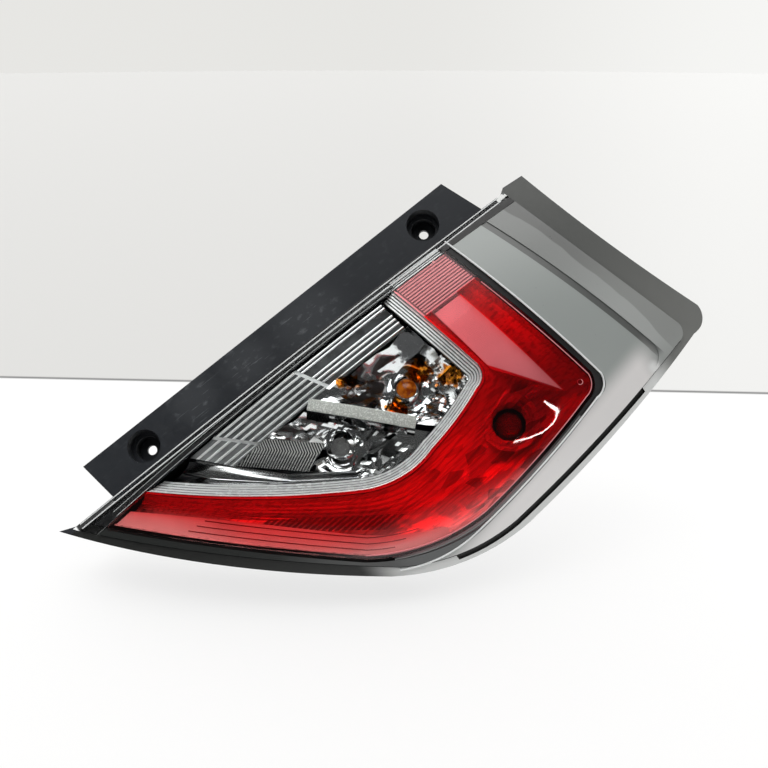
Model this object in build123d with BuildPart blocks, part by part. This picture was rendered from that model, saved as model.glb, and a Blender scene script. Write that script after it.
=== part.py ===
from build123d import *

import os
from math import cos, radians, sin

# Stance on the car: +Z up, -Y to the rear, +X outboard, origin midway between the two bolts
FACE_LEAN = 32
BOLT_LINE_ANGLE = 41.5

# Fixing flange
BOLT_SPACING = 255
BOLT_HOLE_D = 7
CUP_D = 24
CUP_DEPTH = 20
CUP_STEP = 3
CUP_STEP_DEPTH = 11
SEAT_WALL = 2.5
FLANGE_WALL = 3
FLANGE_REACH = 16
GUSSET_WALL = 2
GUSSET_PITCH = 62
GUSSET_COUNT = 4
GUSSET_DROP = 6

# Domed lens face: an arc across the lamp, swept round a long arc along the bolt line
CREST_OUT = 58
CREST_ACROSS = 70
CREST_ALONG = 2.5
DOME_ACROSS_R = 260
DOME_ALONG_R = 900
DOME_REACH_IN = 125
DOME_REACH_OUT = 178
DOME_SWING = 19

# Lens stack, measured down from the dome
LENS_WALL = 3
FIT_GAP = 0.2
SIDE_GAP = 0.3
RIM_DROP = 1.5
RIM_WALL = 2.5
SLOT_WIDTH = 3.4
SLOT_START = -5
SLOT_END = 171
GROOVE_DROP = 1.2
CREASE_DROP = 0.8
MASK_WALL = 2
HOUSING_WALL = 2.5

# Rear of the housing, measured from the bolt seats
SHOULDER_DEPTH = 14
FLOOR_DEPTH = 32
BOX_DRAFT = 0.92
BOX_CORNER_R = 16
GASKET_WIDTH = 10
GASKET_WALL = 6
GASKET_INSET = 2
BACK_RIB_RISE = 5
BACK_RIB_WALL = 2
BACK_RIB_PITCH = 24
BACK_RIB_COUNT = 17
BACK_RIB_INSET = 12
BACK_RIB_CLEAR = 1.5

# Bulbs and their twist-lock holders
BULB_D = 19
BULB_NECK_D = 14
BULB_LENGTH = 42
BULB_NECK = 6
BULB_CLEAR = 1.5
WEDGE = (14, 5, 9)
HOLDER_BORE_D = 24
HOLDER_FLANGE_D = 33
HOLDER_FLANGE_WALL = 3
HOLDER_BARREL = 12
LUG_COUNT = 3
LUG_REACH = 1.8
LUG_WALL = 2.5
LUG_WIDTH = 6
LUG_TWIST = 40
SEAL_WALL = 1.6
SEAL_WIDTH = 2.4
PLUG_BODY = (22, 17)
PLUG_WALL = 2
PLUG_LENGTH = 18
PLUG_CAVITY = 14
GRIP_WALL = 4
GRIP_LENGTH = 9
BLADE = (2.8, 0.8, 5.5)
BLADE_PITCH = 7
TURN_BULB = (86, 42)
REVERSE_BULB = (89, -20)
STOP_BULB = (151, 81)

# Inner optics
BORDER_ACROSS = 33
BEZEL_STEPS = 3
BEZEL_STEP = 3.6
BEZEL_DROP = 2.6
BEZEL_WALL = 1.6
FLUTE_COUNT = 9
FLUTE_PITCH = 2.5
FLUTE_RISE = 1.1
FLUTE_TOP = 4.5
FLUTE_FALL = 13
FLUTE_WALL = 2
RIB_COUNT = 14
RIB_PITCH = 2
RIB_RISE = 0.9
RIB_TOP = 3.5
RIB_WALL = 2
TROUGH_WALL = 1.6
TROUGH_TOP = 4
TROUGH_GAP = 0.4
# How far each terrace lies in from the trough's wall, and its depth below the face
TROUGH_TERRACES = [(0, 9), (4, 12.5), (9, 15.5), (15, 18)]
COLLAR_LOW = 14
COLLAR_HIGH = 27
COLLAR_ROOT_D = 34
COLLAR_D = 46
DIFFUSER_TOP = 6
DIFFUSER_WALL = 2
CHAMBER_TOP = 17
CHAMBER_FLOOR = 2
CHAMBER_WALL = 2
DISH_SIDES = 12
DISH_FLOOR_D = 26
DISH_MID_D = 48
DISH_MID_OUT = 16
DISH_MOUTH_D = 74
SHELF_WIDTH = 8
SHELF_TOP = 11
SHELF_START = (57, -19)
SHELF_FINISH = (113, 30)

# Outboard locating pins and vent
PIN_D = 8
PIN_BALL_D = 10
PIN_LENGTH = 20
PIN_BASE_D = 15
PIN_BASE_WALL = 2.5
PIN_UPPER = (110, 180)
PIN_LOWER = (162, -40)
VENT_PLACE = (120, 92)
VENT_D = 16
VENT_HEIGHT = 7
VENT_SPIGOT_D = 8
POST_D = 8
TROUGH_POSTS = [(91, -102), (156, -20), (110, 119)]
CHAMBER_POSTS = [(64, 22), (100, 66), (72, -34), (112, -2)]

# Outlines in the face: across the lamp from the bolt line, then along it.
# Corners and arc bulges alternate, and None marks a straight run.
LENS_OUTLINE = [
    (17.5, -199), (101, -124.5), (180, -39), (197.5, -4), (204.6, 42), (197, 122),
    (181.2, 213.5), (178, 220.3), (170.5, 221.6), (100, 199.3), (22.5, 184), (25, 40),
]
RIM_OUTLINE = [
    (11, -209), (97, -138), (181, -47.5), (203, -5), (211.3, 50), (203, 128),
    (182.8, 229.5), (178.5, 240.8), (169, 243.5), (100, 218), (19, 204.5), None,
    (18.5, 187), None, (30, 170), None, (30, -170), None,
]
GROOVE_OUTLINE = [
    (10, -200.2), (98.6, -121.3), (163.6, -55), (186.5, -13), (194, 36), (188, 84),
    (176.3, 141), (173, 149), (165, 152), None, (10, 123.8), None,
]
RED_OUTLINE = [
    (10, -198), (97.6, -119.4), (162.4, -53.2), (182.5, -14.6), (189.8, 30), (184.6, 76),
    (173.2, 133.5), (169, 142.2), (159.5, 146.1), None, (10, 117.7), None,
]
CREASE_OUTLINE = [
    (30, 158.5), (98, 176.4), (168.5, 195.8), (178.5, 195.4), (184.5, 187.5), None,
    (180, 184.5), (175.5, 190.6), (168, 190.7), (98.8, 171.3), (30, 153.4), None,
]
BEZEL_OUTLINE = [
    (10, -162), (85, -84.5), (125, -29), (136.3, 3), (134, 28), (129.1, 52.8),
    (121.5, 76.5), (117.8, 83.8), (109.5, 86.9), None, (10, 71.3), None,
]
FLANGE_OUTLINE = [
    (-FLANGE_REACH, -170), (BORDER_ACROSS, -163), (BORDER_ACROSS, 172), (-FLANGE_REACH, 158),
]
REAR_BOX_OUTLINE = [(42, -52), (112, -56), (178, 30), (176, 108), (150, 122), (42, 92)]
UPPER_DIFFUSER_OUTLINE = [
    (62.5, 87), None, (62.5, 110), None, (158, 124), None, (117, 92.5), None,
]
LOWER_DIFFUSER_OUTLINE = [
    (30, -164), (88, -105.5), (138, -55.8), (160, -30), (178, 2), None,
    (205, 0), None, (165, -95), None, (30, -205), None,
]

lean = radians(FACE_LEAN)
climb = radians(BOLT_LINE_ANGLE)
level = Vector(1, 0, 0)
rise = Vector(0, sin(lean), cos(lean))
face = Plane(
    origin=(0, 0, 0),
    x_dir=level * sin(climb) - rise * cos(climb),
    z_dir=(0, -cos(lean), sin(lean)),
)
swing = radians(DOME_SWING)
dome_start = Plane(
    origin=face.from_local_coords((0, CREST_ALONG, CREST_OUT - DOME_ALONG_R)),
    x_dir=face.x_dir,
    z_dir=face.y_dir * -cos(swing) - face.z_dir * sin(swing),
)
dome_axis = Axis(dome_start.origin, -face.x_dir)

flange_front = CUP_DEPTH + SEAT_WALL
slab_low = -SHOULDER_DEPTH
slab_high = CREST_OUT + LENS_WALL
ledge_level = LENS_WALL + FIT_GAP
housing_level = ledge_level + FIT_GAP
wall_inset = LENS_WALL + SIDE_GAP
bolt_half = BOLT_SPACING / 2
far_reach = BOLT_SPACING
trough_depth = TROUGH_TERRACES[-1][1]


def outline(stations):
    with BuildSketch() as drawn:
        with BuildLine():
            ends = stations[2::2] + stations[:1]
            for start, bulge, end in zip(stations[::2], stations[1::2], ends):
                if bulge is None:
                    Line(start, end)
                else:
                    ThreePointArc(start, bulge, end)
        make_face()
    return drawn.sketch


def grown(region, amount):
    with BuildSketch() as larger:
        add(region)
        offset(amount=amount, kind=Kind.ARC, mode=Mode.REPLACE)
    return larger.sketch


def cut(region, *removed):
    with BuildSketch() as kept:
        add(region)
        for other in removed:
            add(other, mode=Mode.SUBTRACT)
    return kept.sketch


def shared(region, other):
    with BuildSketch() as common:
        add(region)
        add(other, mode=Mode.INTERSECT)
    return common.sketch


def half_field(across, outboard=True):
    with BuildSketch() as field:
        with Locations((across + (far_reach if outboard else -far_reach), 0)):
            Rectangle(2 * far_reach, 4 * far_reach)
    return field.sketch


def edge_field(reach):
    """Everything inboard of the lens's flange-side edge, moved outboard by reach."""
    top, bulge, tip = LENS_OUTLINE[-2], LENS_OUTLINE[-1], LENS_OUTLINE[0]
    far = -far_reach
    with BuildSketch() as field:
        with BuildLine():
            low, middle, high = [(spot[0] + reach, spot[1]) for spot in (tip, bulge, top)]
            ThreePointArc(low, middle, high)
            Polyline(high, (high[0], -2 * far), (far, -2 * far), (far, 2 * far), (low[0], 2 * far), low)
        make_face()
    return field.sketch


def dome(depth):
    """The solid below the lens face, lowered by depth all over."""
    with BuildPart() as below:
        with BuildSketch(dome_start):
            with BuildLine():
                reach = DOME_ACROSS_R - depth
                middle = (CREST_ACROSS, DOME_ALONG_R - DOME_ACROSS_R)
                inner = CREST_ACROSS - DOME_REACH_IN
                outer = CREST_ACROSS + DOME_REACH_OUT
                floor = DOME_ALONG_R - far_reach
                inner_top = middle[1] + (reach**2 - DOME_REACH_IN**2) ** 0.5
                outer_top = middle[1] + (reach**2 - DOME_REACH_OUT**2) ** 0.5
                ThreePointArc((inner, inner_top), (middle[0], middle[1] + reach), (outer, outer_top))
                Line((outer, outer_top), (outer, floor))
                Line((outer, floor), (inner, floor))
                Line((inner, floor), (inner, inner_top))
            make_face()
        revolve(axis=dome_axis, revolution_arc=2 * DOME_SWING)
    return below.part


def layer(region, top, bottom):
    """A skin of the lens stack: the region between two depths below the face."""
    with BuildPart() as skin:
        with BuildSketch(face.offset(slab_low)):
            add(region)
        extrude(amount=slab_high - slab_low)
        add(dome(top), mode=Mode.INTERSECT)
        add(dome(bottom), mode=Mode.SUBTRACT)
    return skin.part


def block(region, low, top):
    """A region standing on a flat at low and capped by the dome at depth top."""
    with BuildPart() as solid:
        with BuildSketch(face.offset(low)):
            add(region)
        extrude(amount=slab_high - low)
        add(dome(top), mode=Mode.INTERSECT)
    return solid.part


def finish(piece, name):
    piece.part.label = name
    export_step(piece.part, f"parts/{name}.step")


def upright(place):
    """A plane across the lamp through a place, with the way out of the face as its height."""
    return Plane(
        origin=face.from_local_coords((*place, 0)),
        x_dir=face.x_dir,
        z_dir=-face.y_dir,
    )


def height(across, depth):
    """Distance from the dome's hub to a depth below the face."""
    drop = ((DOME_ACROSS_R - depth) ** 2 - (across - CREST_ACROSS) ** 2) ** 0.5
    return DOME_ALONG_R - DOME_ACROSS_R + drop


def ridges(start, count, pitch, rise, top, fall, wall):
    """A bank of sharp ridges that run along the bolt line and follow the dome."""
    depths = [top + fall * i / count for i in range(count + 1)]
    crown = []
    for i in range(count):
        valley = start + i * pitch
        crown.append((valley, height(valley, depths[i] + rise)))
        crown.append((valley + pitch / 2, height(valley + pitch / 2, depths[i])))
    end = start + count * pitch
    crown.append((end, height(end, depths[count] + rise)))
    under = [
        (end, height(end, depths[count] + rise + wall)),
        (start, height(start, depths[0] + rise + wall)),
    ]
    with BuildPart() as bank:
        with BuildSketch(dome_start):
            with BuildLine():
                Polyline(*crown, *under, close=True)
            make_face()
        revolve(axis=dome_axis, revolution_arc=2 * DOME_SWING)
    return bank.part


def facets(place, sections):
    """A many-sided bowl cutter: each section is a height above the bolt seats and a width."""
    with BuildPart() as bowl:
        for turn, (out, width) in enumerate(sections):
            with BuildSketch(face.offset(out)):
                with Locations(place):
                    RegularPolygon(width / 2, DISH_SIDES, rotation=turn * 180 / DISH_SIDES)
        loft(ruled=True)
    return bowl.part


def reflector(region, bulb):
    """A plated bowl: a block with a wall all round and a many-sided dish about its bulb."""
    body = block(region, CHAMBER_FLOOR - CHAMBER_WALL, CHAMBER_TOP)
    room = block(grown(region, -CHAMBER_WALL), CHAMBER_FLOOR, 0)
    dish = facets(
        bulb,
        [(CHAMBER_FLOOR, DISH_FLOOR_D), (DISH_MID_OUT, DISH_MID_D), (CREST_OUT, DISH_MOUTH_D)],
    )
    return body, dish & room


os.makedirs("parts", exist_ok=True)

lens_outline = outline(LENS_OUTLINE)
rim_outline = outline(RIM_OUTLINE)
groove_outline = outline(GROOVE_OUTLINE)
red_outline = outline(RED_OUTLINE)
bezel_outline = outline(BEZEL_OUTLINE)
outboard_field = half_field(BORDER_ACROSS)
red_field = shared(red_outline, outboard_field)
red_ring = cut(red_field, bezel_outline)
skirt_outer = grown(lens_outline, -wall_inset)
skirt_inner = grown(skirt_outer, -HOUSING_WALL)
inner_field = grown(skirt_inner, -SIDE_GAP)
lens_edge = shared(lens_outline, edge_field(LENS_WALL))
lens_pocket = grown(lens_outline, SIDE_GAP)

# Outer lens: clear window and flange-side border with its turned-down edge
window = shared(grown(bezel_outline, -FIT_GAP), half_field(BORDER_ACROSS - LENS_WALL))
border = shared(lens_outline, half_field(BORDER_ACROSS - FIT_GAP, outboard=False))
window_skin = layer(window, 0, LENS_WALL)
border_skin = layer(border, 0, LENS_WALL)
edge_wall = block(lens_edge, flange_front + FIT_GAP, 0)
with BuildPart() as clear_lens:
    add(border_skin)
    add(window_skin)
    add(edge_wall)
finish(clear_lens, "clear_lens")

# Red lens, wrapped round three sides of the window
red_skin = layer(red_ring, 0, LENS_WALL)
with BuildPart() as red_lens:
    add(red_skin)
finish(red_lens, "red_lens")

# Smoked garnish: the creased top panel, its outboard band and the thin run under the red lens
garnish_field = shared(lens_outline, half_field(BORDER_ACROSS + FIT_GAP))
garnish_skin = layer(cut(garnish_field, groove_outline), 0, LENS_WALL)
crease = layer(outline(CREASE_OUTLINE), -LENS_WALL, CREASE_DROP)
with BuildPart() as grey_garnish:
    add(garnish_skin)
    add(crease, mode=Mode.SUBTRACT)
finish(grey_garnish, "grey_garnish")

# Black inner mask: a plate under the garnish, with a rib that fills the groove round the red lens
groove_field = shared(grown(groove_outline, -SIDE_GAP), half_field(BORDER_ACROSS + SIDE_GAP))
mask_body = layer(cut(inner_field, grown(red_field, SIDE_GAP)), GROOVE_DROP, housing_level + MASK_WALL)
mask_relief = layer(cut(skirt_inner, groove_field), -LENS_WALL, housing_level)
with BuildPart() as inner_mask:
    add(mask_body)
    add(mask_relief, mode=Mode.SUBTRACT)
finish(inner_mask, "inner_mask")

# Bright bezel: three steps down to the window and a skirt that meets the reflectors
beyond_border = half_field(BORDER_ACROSS + SIDE_GAP)
treads = []
for step in range(BEZEL_STEPS):
    outer = grown(bezel_outline, -SIDE_GAP - step * BEZEL_STEP)
    inner = grown(outer, -BEZEL_STEP)
    top = ledge_level + step * BEZEL_DROP
    tread = shared(cut(outer, inner), beyond_border)
    treads.append(layer(tread, top, top + BEZEL_DROP + BEZEL_WALL))
bezel_inner = grown(bezel_outline, -SIDE_GAP - BEZEL_STEPS * BEZEL_STEP)
skirt_top = ledge_level + BEZEL_STEPS * BEZEL_DROP
skirt_ring = shared(cut(bezel_inner, grown(bezel_inner, -BEZEL_WALL)), beyond_border)
bezel_skirt = layer(skirt_ring, skirt_top, CHAMBER_TOP - FIT_GAP)
with BuildPart() as silver_bezel:
    for tread in treads:
        add(tread)
    add(bezel_skirt)
finish(silver_bezel, "silver_bezel")

# Fluted trim along the flange side of the window
room_field = grown(bezel_inner, -BEZEL_WALL - SIDE_GAP)
flute_start = BORDER_ACROSS + SIDE_GAP
flute_end = flute_start + FLUTE_COUNT * FLUTE_PITCH
flutes = ridges(flute_start, FLUTE_COUNT, FLUTE_PITCH, FLUTE_RISE, FLUTE_TOP, FLUTE_FALL, FLUTE_WALL)
flute_room = block(room_field, slab_low, 0)
with BuildPart() as fluted_trim:
    add(flutes)
    add(flute_room, mode=Mode.INTERSECT)
finish(fluted_trim, "fluted_trim")

# Ribbed end of the upper arm, under the red lens
trough_field = shared(grown(red_ring, -TROUGH_GAP), inner_field)
trough_room = grown(trough_field, -TROUGH_WALL)
optic_field = grown(trough_room, -SIDE_GAP)
rib_start = BORDER_ACROSS + TROUGH_GAP + TROUGH_WALL + SIDE_GAP
rib_end = rib_start + RIB_COUNT * RIB_PITCH
ribs = ridges(rib_start, RIB_COUNT, RIB_PITCH, RIB_RISE, RIB_TOP, 0, RIB_WALL)
with BuildSketch() as upper_half:
    with Locations((0, far_reach)):
        Rectangle(4 * far_reach, 2 * far_reach)
rib_room = block(shared(optic_field, upper_half.sketch), slab_low, 0)
with BuildPart() as ribbed_end:
    add(ribs)
    add(rib_room, mode=Mode.INTERSECT)
finish(ribbed_end, "ribbed_end")

# Satin diffuser panels in the two arms
beyond_ribs = shared(optic_field, half_field(rib_end + SIDE_GAP))
upper_panel = shared(outline(UPPER_DIFFUSER_OUTLINE), beyond_ribs)
upper_skin = layer(upper_panel, DIFFUSER_TOP, DIFFUSER_TOP + DIFFUSER_WALL)
with BuildPart() as upper_diffuser:
    add(upper_skin)
finish(upper_diffuser, "upper_diffuser")

lower_panel = shared(outline(LOWER_DIFFUSER_OUTLINE), optic_field)
lower_skin = layer(lower_panel, DIFFUSER_TOP, DIFFUSER_TOP + DIFFUSER_WALL)
with BuildPart() as lower_diffuser:
    add(lower_skin)
finish(lower_diffuser, "lower_diffuser")

# Terraced plated trough behind the red lens, with a many-sided collar round the stop bulb
trough_body = layer(trough_field, TROUGH_TOP, trough_depth + TROUGH_WALL)
hollows = [layer(grown(trough_room, -inset), 0, depth) for inset, depth in TROUGH_TERRACES]
undersides = []
for (_, depth), (inset, _) in zip(TROUGH_TERRACES, TROUGH_TERRACES[1:]):
    outside = cut(grown(trough_field, TROUGH_GAP), grown(trough_room, TROUGH_WALL - inset))
    undersides.append(layer(outside, depth + TROUGH_WALL, trough_depth + 2 * TROUGH_WALL))
collar = facets(STOP_BULB, [(COLLAR_LOW, COLLAR_ROOT_D), (COLLAR_HIGH, COLLAR_D)])
collar_bowl = facets(STOP_BULB, [(COLLAR_LOW, DISH_FLOOR_D), (COLLAR_HIGH, COLLAR_D - 2 * TROUGH_WALL)])
with BuildPart() as stop_tail_reflector:
    add(trough_body)
    for hollow in hollows:
        add(hollow, mode=Mode.SUBTRACT)
    for underside in undersides:
        add(underside, mode=Mode.SUBTRACT)
    add(collar)
    add(collar_bowl, mode=Mode.SUBTRACT)
    with BuildSketch(face.offset(slab_low)):
        with Locations(STOP_BULB):
            Circle(DISH_FLOOR_D / 2)
    extrude(amount=slab_high - slab_low, mode=Mode.SUBTRACT)
finish(stop_tail_reflector, "stop_tail_reflector")

# Turn and reverse reflectors, either side of a satin shelf
chamber_field = shared(bezel_inner, half_field(flute_end + SIDE_GAP))
run = Vector(*SHELF_FINISH) - Vector(*SHELF_START)
shelf_angle = Vector(1, 0).get_angle(run)
shelf_middle = (Vector(*SHELF_START) + Vector(*SHELF_FINISH)) / 2
with BuildSketch() as above_shelf:
    with Locations(Location((shelf_middle.X, shelf_middle.Y), shelf_angle)):
        with Locations((0, far_reach + SIDE_GAP / 2)):
            Rectangle(4 * far_reach, 2 * far_reach)
with BuildSketch() as below_shelf:
    with Locations(Location((shelf_middle.X, shelf_middle.Y), shelf_angle)):
        with Locations((0, -far_reach - SIDE_GAP / 2)):
            Rectangle(4 * far_reach, 2 * far_reach)
with BuildSketch() as shelf_strip:
    with Locations(Location((shelf_middle.X, shelf_middle.Y), shelf_angle)):
        Rectangle(4 * far_reach, SHELF_WIDTH)

turn_body, turn_dish = reflector(shared(chamber_field, above_shelf.sketch), TURN_BULB)
with BuildPart() as turn_reflector:
    add(turn_body)
    add(turn_dish, mode=Mode.SUBTRACT)
    with BuildSketch(face):
        with Locations(TURN_BULB):
            Circle(BULB_D / 2 + BULB_CLEAR)
    extrude(amount=CHAMBER_FLOOR, both=True, mode=Mode.SUBTRACT)
finish(turn_reflector, "turn_reflector")

reverse_body, reverse_dish = reflector(shared(chamber_field, below_shelf.sketch), REVERSE_BULB)
with BuildPart() as reverse_reflector:
    add(reverse_body)
    add(reverse_dish, mode=Mode.SUBTRACT)
    with BuildSketch(face):
        with Locations(REVERSE_BULB):
            Circle(BULB_D / 2 + BULB_CLEAR)
    extrude(amount=CHAMBER_FLOOR, both=True, mode=Mode.SUBTRACT)
finish(reverse_reflector, "reverse_reflector")

shelf_field = shared(shelf_strip.sketch, shared(room_field, half_field(flute_end + SIDE_GAP)))
shelf_skin = layer(shelf_field, SHELF_TOP, CHAMBER_TOP - FIT_GAP)
with BuildPart() as reflector_shelf:
    add(shelf_skin)
finish(reflector_shelf, "reflector_shelf")

# Rear housing: tub, rim lip, fixing flange with bolt cups and a drafted box for the bulb holders
box_middle = Vector(*[sum(axis) / len(axis) for axis in zip(*REAR_BOX_OUTLINE)])


def rear_box(inset, out_top, out_floor):
    """The drafted box between two heights above the bolt seats, its walls moved in by inset."""
    with BuildPart() as box:
        for out, share in ((out_top, 1), (out_floor, BOX_DRAFT)):
            corners = [box_middle + (Vector(*spot) - box_middle) * share for spot in REAR_BOX_OUTLINE]
            with BuildSketch(face.offset(out)) as section:
                with BuildLine():
                    Polyline(*corners, close=True)
                make_face()
                fillet(section.vertices(), BOX_CORNER_R)
                offset(amount=-inset, kind=Kind.ARC, mode=Mode.REPLACE)
        loft(ruled=True)
    return box.part


def posts(places, low, high):
    with BuildPart() as group:
        with BuildSketch(face.offset(low)):
            with Locations(*places):
                Circle(POST_D / 2)
        extrude(amount=high - low)
    return group.part


holder_places = [TURN_BULB, REVERSE_BULB, STOP_BULB]
bolt_places = [(0, -bolt_half), (0, bolt_half)]
tub_room = block(skirt_inner, HOUSING_WALL - SHOULDER_DEPTH, 0)
with BuildSketch() as slot_band:
    with Locations((far_reach, (SLOT_START + SLOT_END) / 2)):
        Rectangle(far_reach, SLOT_END - SLOT_START)
with BuildSketch() as front_field:
    add(rim_outline)
    add(skirt_outer)
with BuildSketch() as seat_field:
    add(lens_pocket)
    add(shared(grown(lens_outline, SLOT_WIDTH), slot_band.sketch))
front = block(front_field.sketch, -SHOULDER_DEPTH, RIM_DROP)
lens_seat = layer(seat_field.sketch, -LENS_WALL, housing_level)
below = -SHOULDER_DEPTH - RIM_WALL
undercut = block(cut(grown(rim_outline, CUP_D), skirt_outer), below, housing_level + RIM_WALL)
edge_room = block(shared(lens_pocket, edge_field(wall_inset)), below, 0)
box_shell = rear_box(0, HOUSING_WALL - SHOULDER_DEPTH, -FLOOR_DEPTH)
box_room = rear_box(HOUSING_WALL, HOUSING_WALL - SHOULDER_DEPTH, HOUSING_WALL - FLOOR_DEPTH)
trough_posts = posts(TROUGH_POSTS, -SHOULDER_DEPTH, CREST_OUT) & dome(trough_depth + TROUGH_WALL + FIT_GAP)
chamber_posts = posts(CHAMBER_POSTS, -FLOOR_DEPTH, CHAMBER_FLOOR - CHAMBER_WALL - FIT_GAP)

with BuildSketch() as box_profile:
    with BuildLine():
        Polyline(*REAR_BOX_OUTLINE, close=True)
    make_face()
    fillet(box_profile.vertices(), BOX_CORNER_R)
gasket_outer = grown(box_profile.sketch, GASKET_INSET + GASKET_WIDTH)
gasket_inner = grown(box_profile.sketch, GASKET_INSET)

# Stiffening ribs on the shoulder, clear of the gasket and the locating pins
with BuildSketch() as rib_grid:
    with GridLocations(0, BACK_RIB_PITCH, 1, BACK_RIB_COUNT):
        Rectangle(4 * far_reach, BACK_RIB_WALL)
    with Locations((CREST_ACROSS, 0)):
        Rectangle(BACK_RIB_WALL, 4 * far_reach)
with BuildSketch() as rib_free:
    add(grown(skirt_outer, -BACK_RIB_INSET))
    add(grown(gasket_outer, BACK_RIB_CLEAR), mode=Mode.SUBTRACT)
    with Locations(PIN_UPPER, PIN_LOWER):
        Circle(PIN_BASE_D / 2 + BACK_RIB_CLEAR, mode=Mode.SUBTRACT)
back_ribs = shared(rib_grid.sketch, rib_free.sketch)

with BuildPart() as rear_housing:
    add(front)
    add(lens_seat, mode=Mode.SUBTRACT)
    add(undercut, mode=Mode.SUBTRACT)
    add(edge_room, mode=Mode.SUBTRACT)
    with BuildSketch(face.offset(flange_front - FLANGE_WALL)):
        with BuildLine():
            Polyline(*FLANGE_OUTLINE, close=True)
        make_face()
    extrude(amount=FLANGE_WALL)
    with BuildSketch(face):
        with Locations(*bolt_places):
            Circle(CUP_D / 2 + SEAT_WALL)
    extrude(amount=flange_front)
    for rank in range(GUSSET_COUNT):
        along = (rank - (GUSSET_COUNT - 1) / 2) * GUSSET_PITCH
        with BuildSketch(upright((0, along))):
            with BuildLine():
                Polyline(
                    (-FLANGE_REACH / 2, flange_front - FLANGE_WALL),
                    (BORDER_ACROSS, flange_front - FLANGE_WALL),
                    (BORDER_ACROSS, -GUSSET_DROP),
                    (CUP_D / 2, -GUSSET_DROP),
                    close=True,
                )
            make_face()
        extrude(amount=GUSSET_WALL / 2, both=True)
    add(box_shell)
    with BuildSketch(face.offset(-SHOULDER_DEPTH)):
        add(back_ribs)
    extrude(amount=-BACK_RIB_RISE)
    add(tub_room, mode=Mode.SUBTRACT)
    add(box_room, mode=Mode.SUBTRACT)
    add(trough_posts)
    add(chamber_posts)
    with BuildSketch(face.offset(CUP_DEPTH + SEAT_WALL - CUP_STEP_DEPTH)):
        with Locations(*bolt_places):
            Circle(CUP_D / 2)
    extrude(amount=CUP_STEP_DEPTH, mode=Mode.SUBTRACT)
    with BuildSketch(face.offset(SEAT_WALL)):
        with Locations(*bolt_places):
            Circle(CUP_D / 2 - CUP_STEP)
    extrude(amount=CUP_DEPTH, mode=Mode.SUBTRACT)
    with BuildSketch(face):
        with Locations(*bolt_places):
            Circle(BOLT_HOLE_D / 2)
    extrude(amount=CUP_DEPTH, mode=Mode.SUBTRACT)
    with BuildSketch(face.offset(-FLOOR_DEPTH)):
        for place in holder_places:
            with Locations(place):
                Circle(HOLDER_BORE_D / 2)
                with PolarLocations(0, LUG_COUNT):
                    with Locations((HOLDER_BORE_D / 4 + LUG_REACH / 2 + SIDE_GAP, 0)):
                        Rectangle(HOLDER_BORE_D / 2 + LUG_REACH, LUG_WIDTH + 2 * SIDE_GAP)
        with Locations(VENT_PLACE):
            Circle(VENT_SPIGOT_D / 2 + SIDE_GAP)
    extrude(amount=HOUSING_WALL, mode=Mode.SUBTRACT)
finish(rear_housing, "rear_housing")

# Foam gasket on the shoulder, round the box
with BuildPart() as body_gasket:
    with BuildSketch(face.offset(-SHOULDER_DEPTH)):
        add(gasket_outer)
        add(gasket_inner, mode=Mode.SUBTRACT)
    extrude(amount=-GASKET_WALL)
finish(body_gasket, "body_gasket")


def holder_plane(place):
    """A plane on the outside of the box floor, facing the car, with its width level."""
    return Plane(
        origin=face.from_local_coords((*place, -FLOOR_DEPTH)),
        x_dir=level,
        z_dir=-face.z_dir,
    )


# Twist-lock bulb holders, each with a two-blade receptacle
barrel_top = SEAL_WALL - HOLDER_BARREL
plug_root = SEAL_WALL + HOLDER_FLANGE_WALL
holder_names = ["turn_bulb_holder", "reverse_bulb_holder", "stop_bulb_holder"]
for place, name in zip(holder_places, holder_names):
    base = holder_plane(place)
    with BuildPart() as holder:
        with BuildSketch(base.offset(SEAL_WALL)):
            Circle(HOLDER_FLANGE_D / 2)
        extrude(amount=HOLDER_FLANGE_WALL)
        with BuildSketch(base.offset(barrel_top)):
            Circle(HOLDER_BORE_D / 2 - SIDE_GAP)
        extrude(amount=HOLDER_BARREL)
        with BuildSketch(base.offset(-HOUSING_WALL - SIDE_GAP - LUG_WALL)):
            with PolarLocations(HOLDER_BORE_D / 2 - LUG_REACH, LUG_COUNT, start_angle=LUG_TWIST):
                Rectangle(4 * LUG_REACH, LUG_WIDTH)
        extrude(amount=LUG_WALL)
        with BuildSketch(base.offset(plug_root)):
            RectangleRounded(*PLUG_BODY, PLUG_WALL)
        extrude(amount=PLUG_LENGTH)
        with BuildSketch(base.offset(plug_root)):
            Rectangle(HOLDER_FLANGE_D - PLUG_WALL, GRIP_WALL)
        extrude(amount=GRIP_LENGTH)
        with BuildSketch(base.offset(plug_root + PLUG_LENGTH - PLUG_CAVITY)):
            inside = [side - 2 * PLUG_WALL for side in PLUG_BODY]
            RectangleRounded(*inside, PLUG_WALL / 2)
        extrude(amount=PLUG_CAVITY, mode=Mode.SUBTRACT)
        with BuildSketch(base.offset(barrel_top)):
            Rectangle(WEDGE[0] + 2 * SIDE_GAP, WEDGE[1] + 2 * SIDE_GAP)
        extrude(amount=WEDGE[2] + SIDE_GAP, mode=Mode.SUBTRACT)
    finish(holder, name)

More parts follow.
